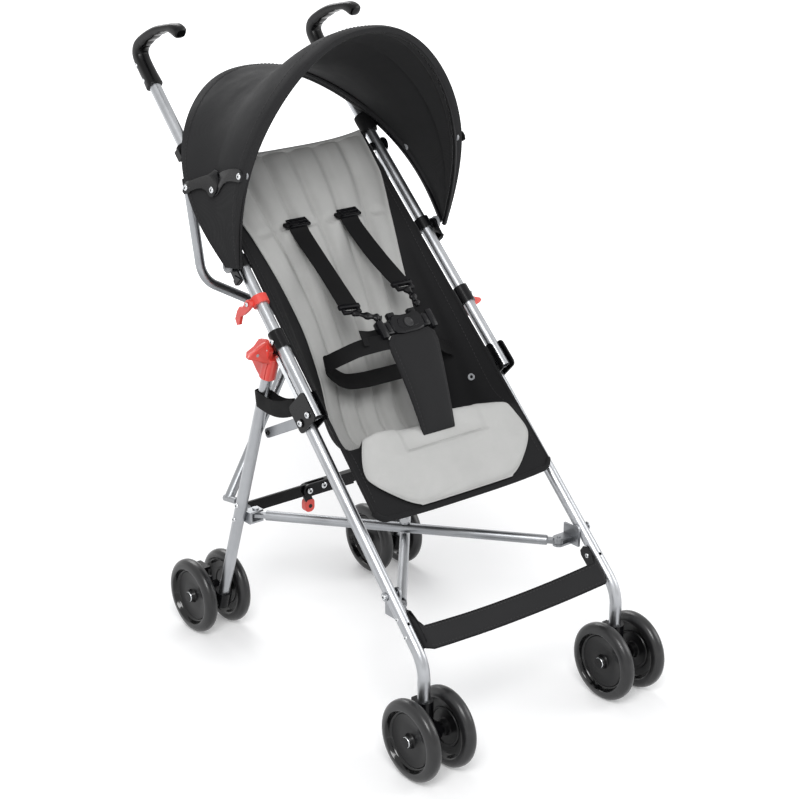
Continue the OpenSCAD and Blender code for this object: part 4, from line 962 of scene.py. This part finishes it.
def canopy_bows(ts):
    """spring strips of the canopy with the front one's feet"""
    foot = [(-29, -15), (-7, 6), (-3, 8), (2, 8.2), (6, 6), (8.4, 1), (7.4, -4), (5, -7), (-13, -28.5),
            (-19, -27), (-27, -20)]
    heel = [(-12, -12), (-8, -22), (-14, -28), (-28, -14)]
    for k, out, name in ((0, -3.1, "front_bow"), (1, -4.5, "rear_bow")):
        line = [bow_at(k, t, out) for t in ts]
        radial = [unit(bow_at(k, t, out + 5) - p) for t, p in zip(ts, line)]
        bag = Bag().add(*sweep(line, oval(2.5, 3.5, 14, 4.0), side=radial), "black_plastic")
        for side in (-1, 1) if k == 0 else ():
            for shape, thick in ((foot, 3.5), (heel, BOW_W[0] - CANOPY_PT[0] - TUBE_R - 8)):
                plate(bag, shape, lambda y, z, h: flip(CANOPY_PT + vec(TUBE_R + 7 + h, y, z), side), thick,
                      inset=0.7)
        folds(bag.piece(name + "_strip", "canopy", "black_plastic", name))


def canopy():
    ts = linspace(0, 180, 141)
    top, under = ([[canopy_pt(k, t, up) for t in ts] for k in linspace(0.0, 1.0, 41)]
                  for up in (CANOPY_T + CLOTH_GAP, CLOTH_GAP))
    bag = Bag().add(*slab(top, under), "canopy_cloth")
    cloth = bag.piece("canopy_sheet", "canopy", "black_cloth", "canopy_cloth", sharp=60)
    hem = Bag()

    def over(k, t):
        inside = min(max(k, 0), 1)
        return canopy_pt(inside, t, 0) + bow_at(k, t, 0) - bow_at(inside, t, 0)
    for k0, k1, seam, seam_k in ((-0.02, 0.075, 5, 0.067), (0.945, 1.012, 1, 0.953)):
        ring_k = [(k, abs(2 * i / 6 - 1) ** 4) for i, k in enumerate(linspace(k0, k1, 7))]
        outer = [[over(k, t) + bow_normal(k, t) * (3.1 - 0.5 * e) for t in ts] for k, e in ring_k]
        inner = [[bow_at(k, t, 0) - bow_normal(k, t) * (5.2 - 3.2 * e) for t in ts] for k, e in ring_k]
        hem.add(*slab(outer, inner), "canopy_cloth")
        stitches(hem, outer[seam], [bow_normal(seam_k, t) for t in ts], pitch=7)
    facing = [[bow_at(k, t, -1.2) for t in ts] for k in linspace(0.07, 0.25, 6)]
    behind = [[p - unit(p - FLAT * CANOPY_PT) * 0.9 for p in row] for row in facing]
    hem.add(*slab(facing, behind), "canopy_cloth")
    rim = hem.piece("canopy_hems", "canopy", "black_cloth", sharp=60)
    canopy_bows(ts)
    for o in (cloth, rim):
        folds(o)


def strut_x(y, z):
    """outside of the cloth at a point of the side view"""
    cloth = (canopy_pt(k, t, CANOPY_T + CLOTH_GAP) for k in linspace(0, 1, 21) for t in linspace(2, 60, 30))
    return min(cloth, key=lambda p: (p[1] - y) ** 2 + (p[2] - z) ** 2)[0]


def canopy_struts():
    """folding links on the sides of the canopy, cut to the waved outline of the real ones"""
    rear = [
        (203, 773), (193, 776), (175, 784), (164, 788), (153, 792), (146, 798), (136, 803), (127, 802),
        (123, 798), (120, 792), (118, 783), (120, 773), (126, 765), (134, 763), (141, 766), (149, 769),
        (160, 770), (173, 768), (185, 762), (192, 757), (201, 754), (206, 757), (208, 765)]
    front = [
        (125, 799), (111, 806), (100, 810), (90, 813), (78, 816), (68, 817), (58, 816), (53, 811), (54, 803),
        (61, 799), (71, 798), (80, 797), (92, 794), (102, 789), (110, 781), (117, 771), (127, 765),
        (135, 765), (140, 771), (137, 780), (132, 790)]
    bag = Bag()
    for side in (-1, 1):
        for outline, lift in ((front, 0.8), (rear, 3.8)):
            near = {p: strut_x(*p) for p in outline}

            def at(y, z, h):
                p = min(near, key=lambda q: (q[0] - y) ** 2 + (q[1] - z) ** 2)
                return vec(side * (near[p] + lift + h), y, z)
            plate(bag, outline, at, 2.8, inset=0.9)
        for c, out, inside in (((61, 808), 3.4, 8.6), ((131, 774), 6.4, None), ((200, 764), 6.4, 3.4)):
            x = strut_x(*c)
            rivet(bag, vec(side * (x + out), *c), ACROSS * side, r=5.0, h=2.4)
            if inside:
                rivet(bag, vec(side * (x - inside), *c), -ACROSS * side, r=6.0, h=1.8, mat="knob")
    folds(bag.piece("canopy_strut_links", "canopy", "black_plastic", "canopy_struts"))


def canopy_knobs():
    prof = [(0, 0), (9.4, 0), (10.2, 0.8), (10.2, 4.4), (9.2, 5.6), (4.2, 6.0), (3.6, 5.2), (0, 5.2)]
    for side, k in SIDES:
        c = flip(CANOPY_PT + vec(TUBE_R + 13.6, 0, 0), side)
        v, f = lathe(prof, c, ACROSS * side, 36)
        v = [p + (p - c) * FLAT * 0.05 if i % 2 and 1 < abs(p[0] - c[0]) < 5 else p for i, p in enumerate(v)]
        Bag().add(v, f, "knob").piece(k + "_canopy_knob", k + "_side", "button")


def footrest():
    """strap slung between the front legs, its ends turned back along them as riveted tabs"""
    p = leg_at(FOOT_STATION)
    ax = Axes(FLAT * p, -FLAT * LEG_DIR)
    half = p[0] - TUBE_R - 2.4
    x1 = half - 9
    # place across, place along, lower edge and upper edge of the band, from the left tab to the middle
    rows = [(-half, mix(13, -3, q), -38.0, mix(16, 19, q) - 3.0 * q ** 4) for q in linspace(0, 1, 9)]
    rows += [(-half + 9 * (1 - cos(pi / 2 * q)), -3 - 9 * sin(pi / 2 * q), mix(-38, -46, q), mix(16, -11, q))
             for q in linspace(0, 1, 9)[1:]]
    for x in linspace(-x1, 0, 42)[1:]:
        s = 1 - (x / x1) ** 2
        rows.append((x, -12 + FOOT_SAG * 0.9 * s, -46.0 - 2 * s, -11.0 - 3 * s))
    rows = np.array(rows + [(-x, *r) for x, *r in rows[-2::-1]])
    path, low, high = rows[:, :2], rows[:, 2], rows[:, 3]
    tan = np.gradient(path, axis=0)
    nrm = np.stack([tan[:, 1], -tan[:, 0]], 1) / np.linalg.norm(tan, axis=1)[:, None]
    zs, ids = linspace(0, 1, 15), range(len(path))

    def at(i, s, t):
        x, y = path[i] + nrm[i] * (t + 0.5 * ruffle(path[i][0] * 0.05, s * 3, 0.5))
        return ax(x, y + 1.4 * (2 * s - 1) ** 2, mix(low[i], high[i], s))
    bag = Bag().add(*slab(*([[at(i, s, t) for s in zs] for i in ids] for t in (1.3, -1.3))), "canopy_cloth")
    trim = Bag()
    for s in (0.1, 0.9):
        stitches(trim, [at(i, s, 1.3) for i in ids[14:-14]], ax.dir(0, -1, 0))
    for s in (0.0, 1.0):
        trim.add(*sweep([at(i, s, 0) for i in ids], oval(1.7, 1.7, 10), side=ax.dir(0, 0, 1)), "black_cloth")
    band = bag.piece("footrest_band", "left_front", "black_cloth", "footrest", sharp=70)
    binding = trim.piece("footrest_binding", "left_front", "black_cloth", sharp=70)
    step, wide = np.linalg.norm(np.diff(path, axis=0), axis=1), high - low
    for o in (band, binding):
        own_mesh(o)
    out = [(-9, -30), (12, -30), (15, -26), (15, 20), (11, 27), (0, 29), (-7, 24), (-12, 8), (-12, -26)]
    for side, k in SIDES:
        fit = Bag()
        lx = Axes(p, -LEG_DIR, side)
        plate(fit, out, lambda x, y, h: lx(-TUBE_R - 4.4 - h, x, y - 6), 1.8, inset=0.6)
        rivet(fit, lx(-TUBE_R - 6.2, 2, 7), lx.dir(-1, 0, 0), 4.0, 1.8)
        for z in (13, -16):
            rivet(fit, lx(TUBE_R - 0.6, 0, z), lx.dir(1, 0, 0), 3.4, 1.6)
        fit.piece(k + "_footrest_end", k + "_front", "black_plastic")


# straps from the rear legs to the knee brackets
def leg_straps():
    """black straps round the rear legs to the knee brackets, and the flat grey links below them"""
    leg, knee = rear_leg_at(STRAP_Z), push_at(KNEE_STATION + 30, KNEE_DROP + 4)
    e, span, r = unit((knee - leg) * FLAT), np.linalg.norm((knee - leg)[1:]), TUBE_R + 1.6
    over = unit(np.cross(e, ACROSS))

    def beside(s, out):
        return leg + e * s + vec(out * r * mix(1.0, 0.75, s / span), 0, -10 * sin(pi * s / span))
    pts = [beside(s, 1) for s in linspace(span, 0, 12)]
    pts += [leg + e * (cos(a) * r) + vec(sin(a) * r, 0, 0) for a in linspace(pi / 2, 3 * pi / 2, 14)[1:-1]]
    pts += [beside(s, -1) for s in linspace(0, span, 12)]
    x = KNEE[0] - TUBE_R - SIDE_GAP - PLATE_T
    back, fore = vec(x + 0.6, 67, 392), vec(x + 1.6, -38, 446)
    t, n = unit(fore - back), unit(np.cross(fore - back, ACROSS))
    bar = [(-9, -4), (-6, -7.4), (0, -8), (126, -8), (126, 8), (0, 8), (-6, 7.4), (-9, 4)]
    for side, k in SIDES:
        def spot(p):
            return tuple(flip(p, side) * MM)
        bag = Bag().add(*sweep(flip(pts, side), oval(13, 0.95, 14, 5), side=flip(over, side)), "webbing")
        o = bag.piece(k + "_leg_strap", None, "webbing")
        spot(leg + e * 14)
        spot(knee - e * 6)
        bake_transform(o)
        link = Bag()
        plate(link, bar, lambda u, w, h: flip(back + t * u + n * w - vec(3.2 + h, 0, 0), side), 2.6,
              inset=0.5, mat="brace")
        rivet(link, flip(back - vec(2.6, 0, 0), side), ACROSS * side, r=4.2, mat="black_plastic")
        rivet(link, flip(back - vec(6.0, 0, 0), side), -ACROSS * side, r=4.6)
        o = link.piece(k + "_stay_link", None, "brace")
        spot(back + t * 6)
        spot(fore - t * 10)
        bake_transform(o)


# lock
def lock_pedal():
    """black arm with a red foot tip"""
    def at(x, z, h):
        return vec(LOCK_X + x, LOCK_Y + 7 + h, LOCK_Z + z)
    top = [(8 * cos(t), 8 * sin(t)) for t in linspace(0, pi, 13)]
    bag = Bag()
    plate(bag, top + [(-7.4, -4), (4, -30), (17, -26), (9.6, -5)], at, 5, inset=0.7)
    corners = enumerate(((12, -30), (9, -30), (9, -38), (12, -38)))
    tip = [(x + 8 * cos(t), z + 8 * sin(t)) for i, (x, z) in corners
           for t in linspace(i * pi / 2, (i + 1) * pi / 2, 7)]
    plate(bag, tip, lambda x, z, h: at(x, z, h - 0.4), 13.2, inset=1.4, mat="red_plastic")
    disc(bag, at(10.5, -35, -0.4), vec(0, -1, 0), (3.6, 3.6), -0.2, 0.35, 20)
    bag.piece("lock_pedal_dressed", "lock_pedal", "red_plastic", "lock_pedal")


# small metal, hinge tabs and seat loops
def hardware():
    tab = [(8, 17), (20, 13), (36, 5), (46, 2), (49, -2), (46, -6), (34, -10), (22, -17), (8, -20)]
    band = [(11.2, -16), (13.2, -16.4), (13.9, -14), (14.0, 0), (13.9, 14), (13.2, 16.4), (11.2, 16),
            (11.2, -16)]
    far = TUBE_R + SIDE_GAP + PLATE_T + 1.8
    for side, k in SIDES:
        ax, hx, sx = (push_axes(s, side) for s in (KNEE_STATION, HIP_STATION, LOOP_STATION))
        lx = Axes(leg_at(YOKE_STATION), -LEG_DIR, side)
        knee = [(ax(far, y, 0), ax.dir(1, 0, 0), 5.2, 2.0) for y in (0, KNEE_DROP)]
        rivets(k + "_side_rivets", k + "_side", *knee, (hx(14.0, 0, 0), hx.dir(1, 0, 0), 4.6, 2.0))
        leg = [(flip(rear_leg_at(z) + vec(TUBE_R - 0.4, 0, 0), side), ACROSS * side, 4.4, 2.4)
               for z in (253, 226)]
        rivets(k + "_rear_rivets", k + "_rear",
               (flip(HIP, side) + hx.dir(13.4, 0, 0), hx.dir(1, 0, 0), 4.4, 1.8), *leg)
        red = Bag()
        plate(red, tab, lambda x, z, h: flip(HIP + vec(x, h - 4, z - 2), side), 8, inset=1.6,
              mat="red_plastic")
        for y, d in ((-4, -1), (4, 1)):
            disc(red, flip(HIP + vec(31, y, -4), side), vec(0, d, 0), (2.6, 2.4), -0.4, 0.3, 18, "knob")
        red.piece(k + "_hinge_tab", k + "_rear", "red_plastic")
        loop = Bag().add(*lathe(band, sx(0, 0, 0), sx.dir(0, 0, 1), 36), "webbing")
        loop.piece(k + "_seat_loop", k + "_side", "webbing")
        rivets(k + "_yoke_bolt", k + "_yoke", (lx(TUBE_R + SIDE_GAP + 2.4, 0, 0), lx.dir(1, 0, 0), 4.6, 2.2))
    rivets("lock_rivets", "right_link", *(
        (vec(LOCK_X + x, LOCK_Y - y, LOCK_Z + z), vec(0, -1, 0), r, 2.0)
        for x, y, z, r in ((0, 8.0, 0, 5.2), (30, 6.1, 2, 5.6))))
    hook = push_axes(LATCH_STATION, -1)
    rivets("latch_rivet", "left_side", (hook(TUBE_R + 12.8, 4, 0), hook.dir(1, 0, 0), 3.6, 1.4))
    ring = [(2.2, -1.5), (5.4, -1.5), (6.0, 0), (5.5, 0.9), (4.2, 1.2), (2.8, 0.7), (2.2, -1.5)]
    eye = Bag().add(*lathe(ring, wing_pt(6.15, 0.885, 0.9), vec(-0.75, -0.45, 0.5), 24), "knob")
    folds(eye.piece("wing_eyelet", "left_side", "button"))


stage()
dress_cad()
wheels()
grips()
seat_cover()
back_pad()
front_pad()
harness()
crotch_pad()
canopy()
canopy_struts()
canopy_knobs()
footrest()
leg_straps()
lock_pedal()
hardware()
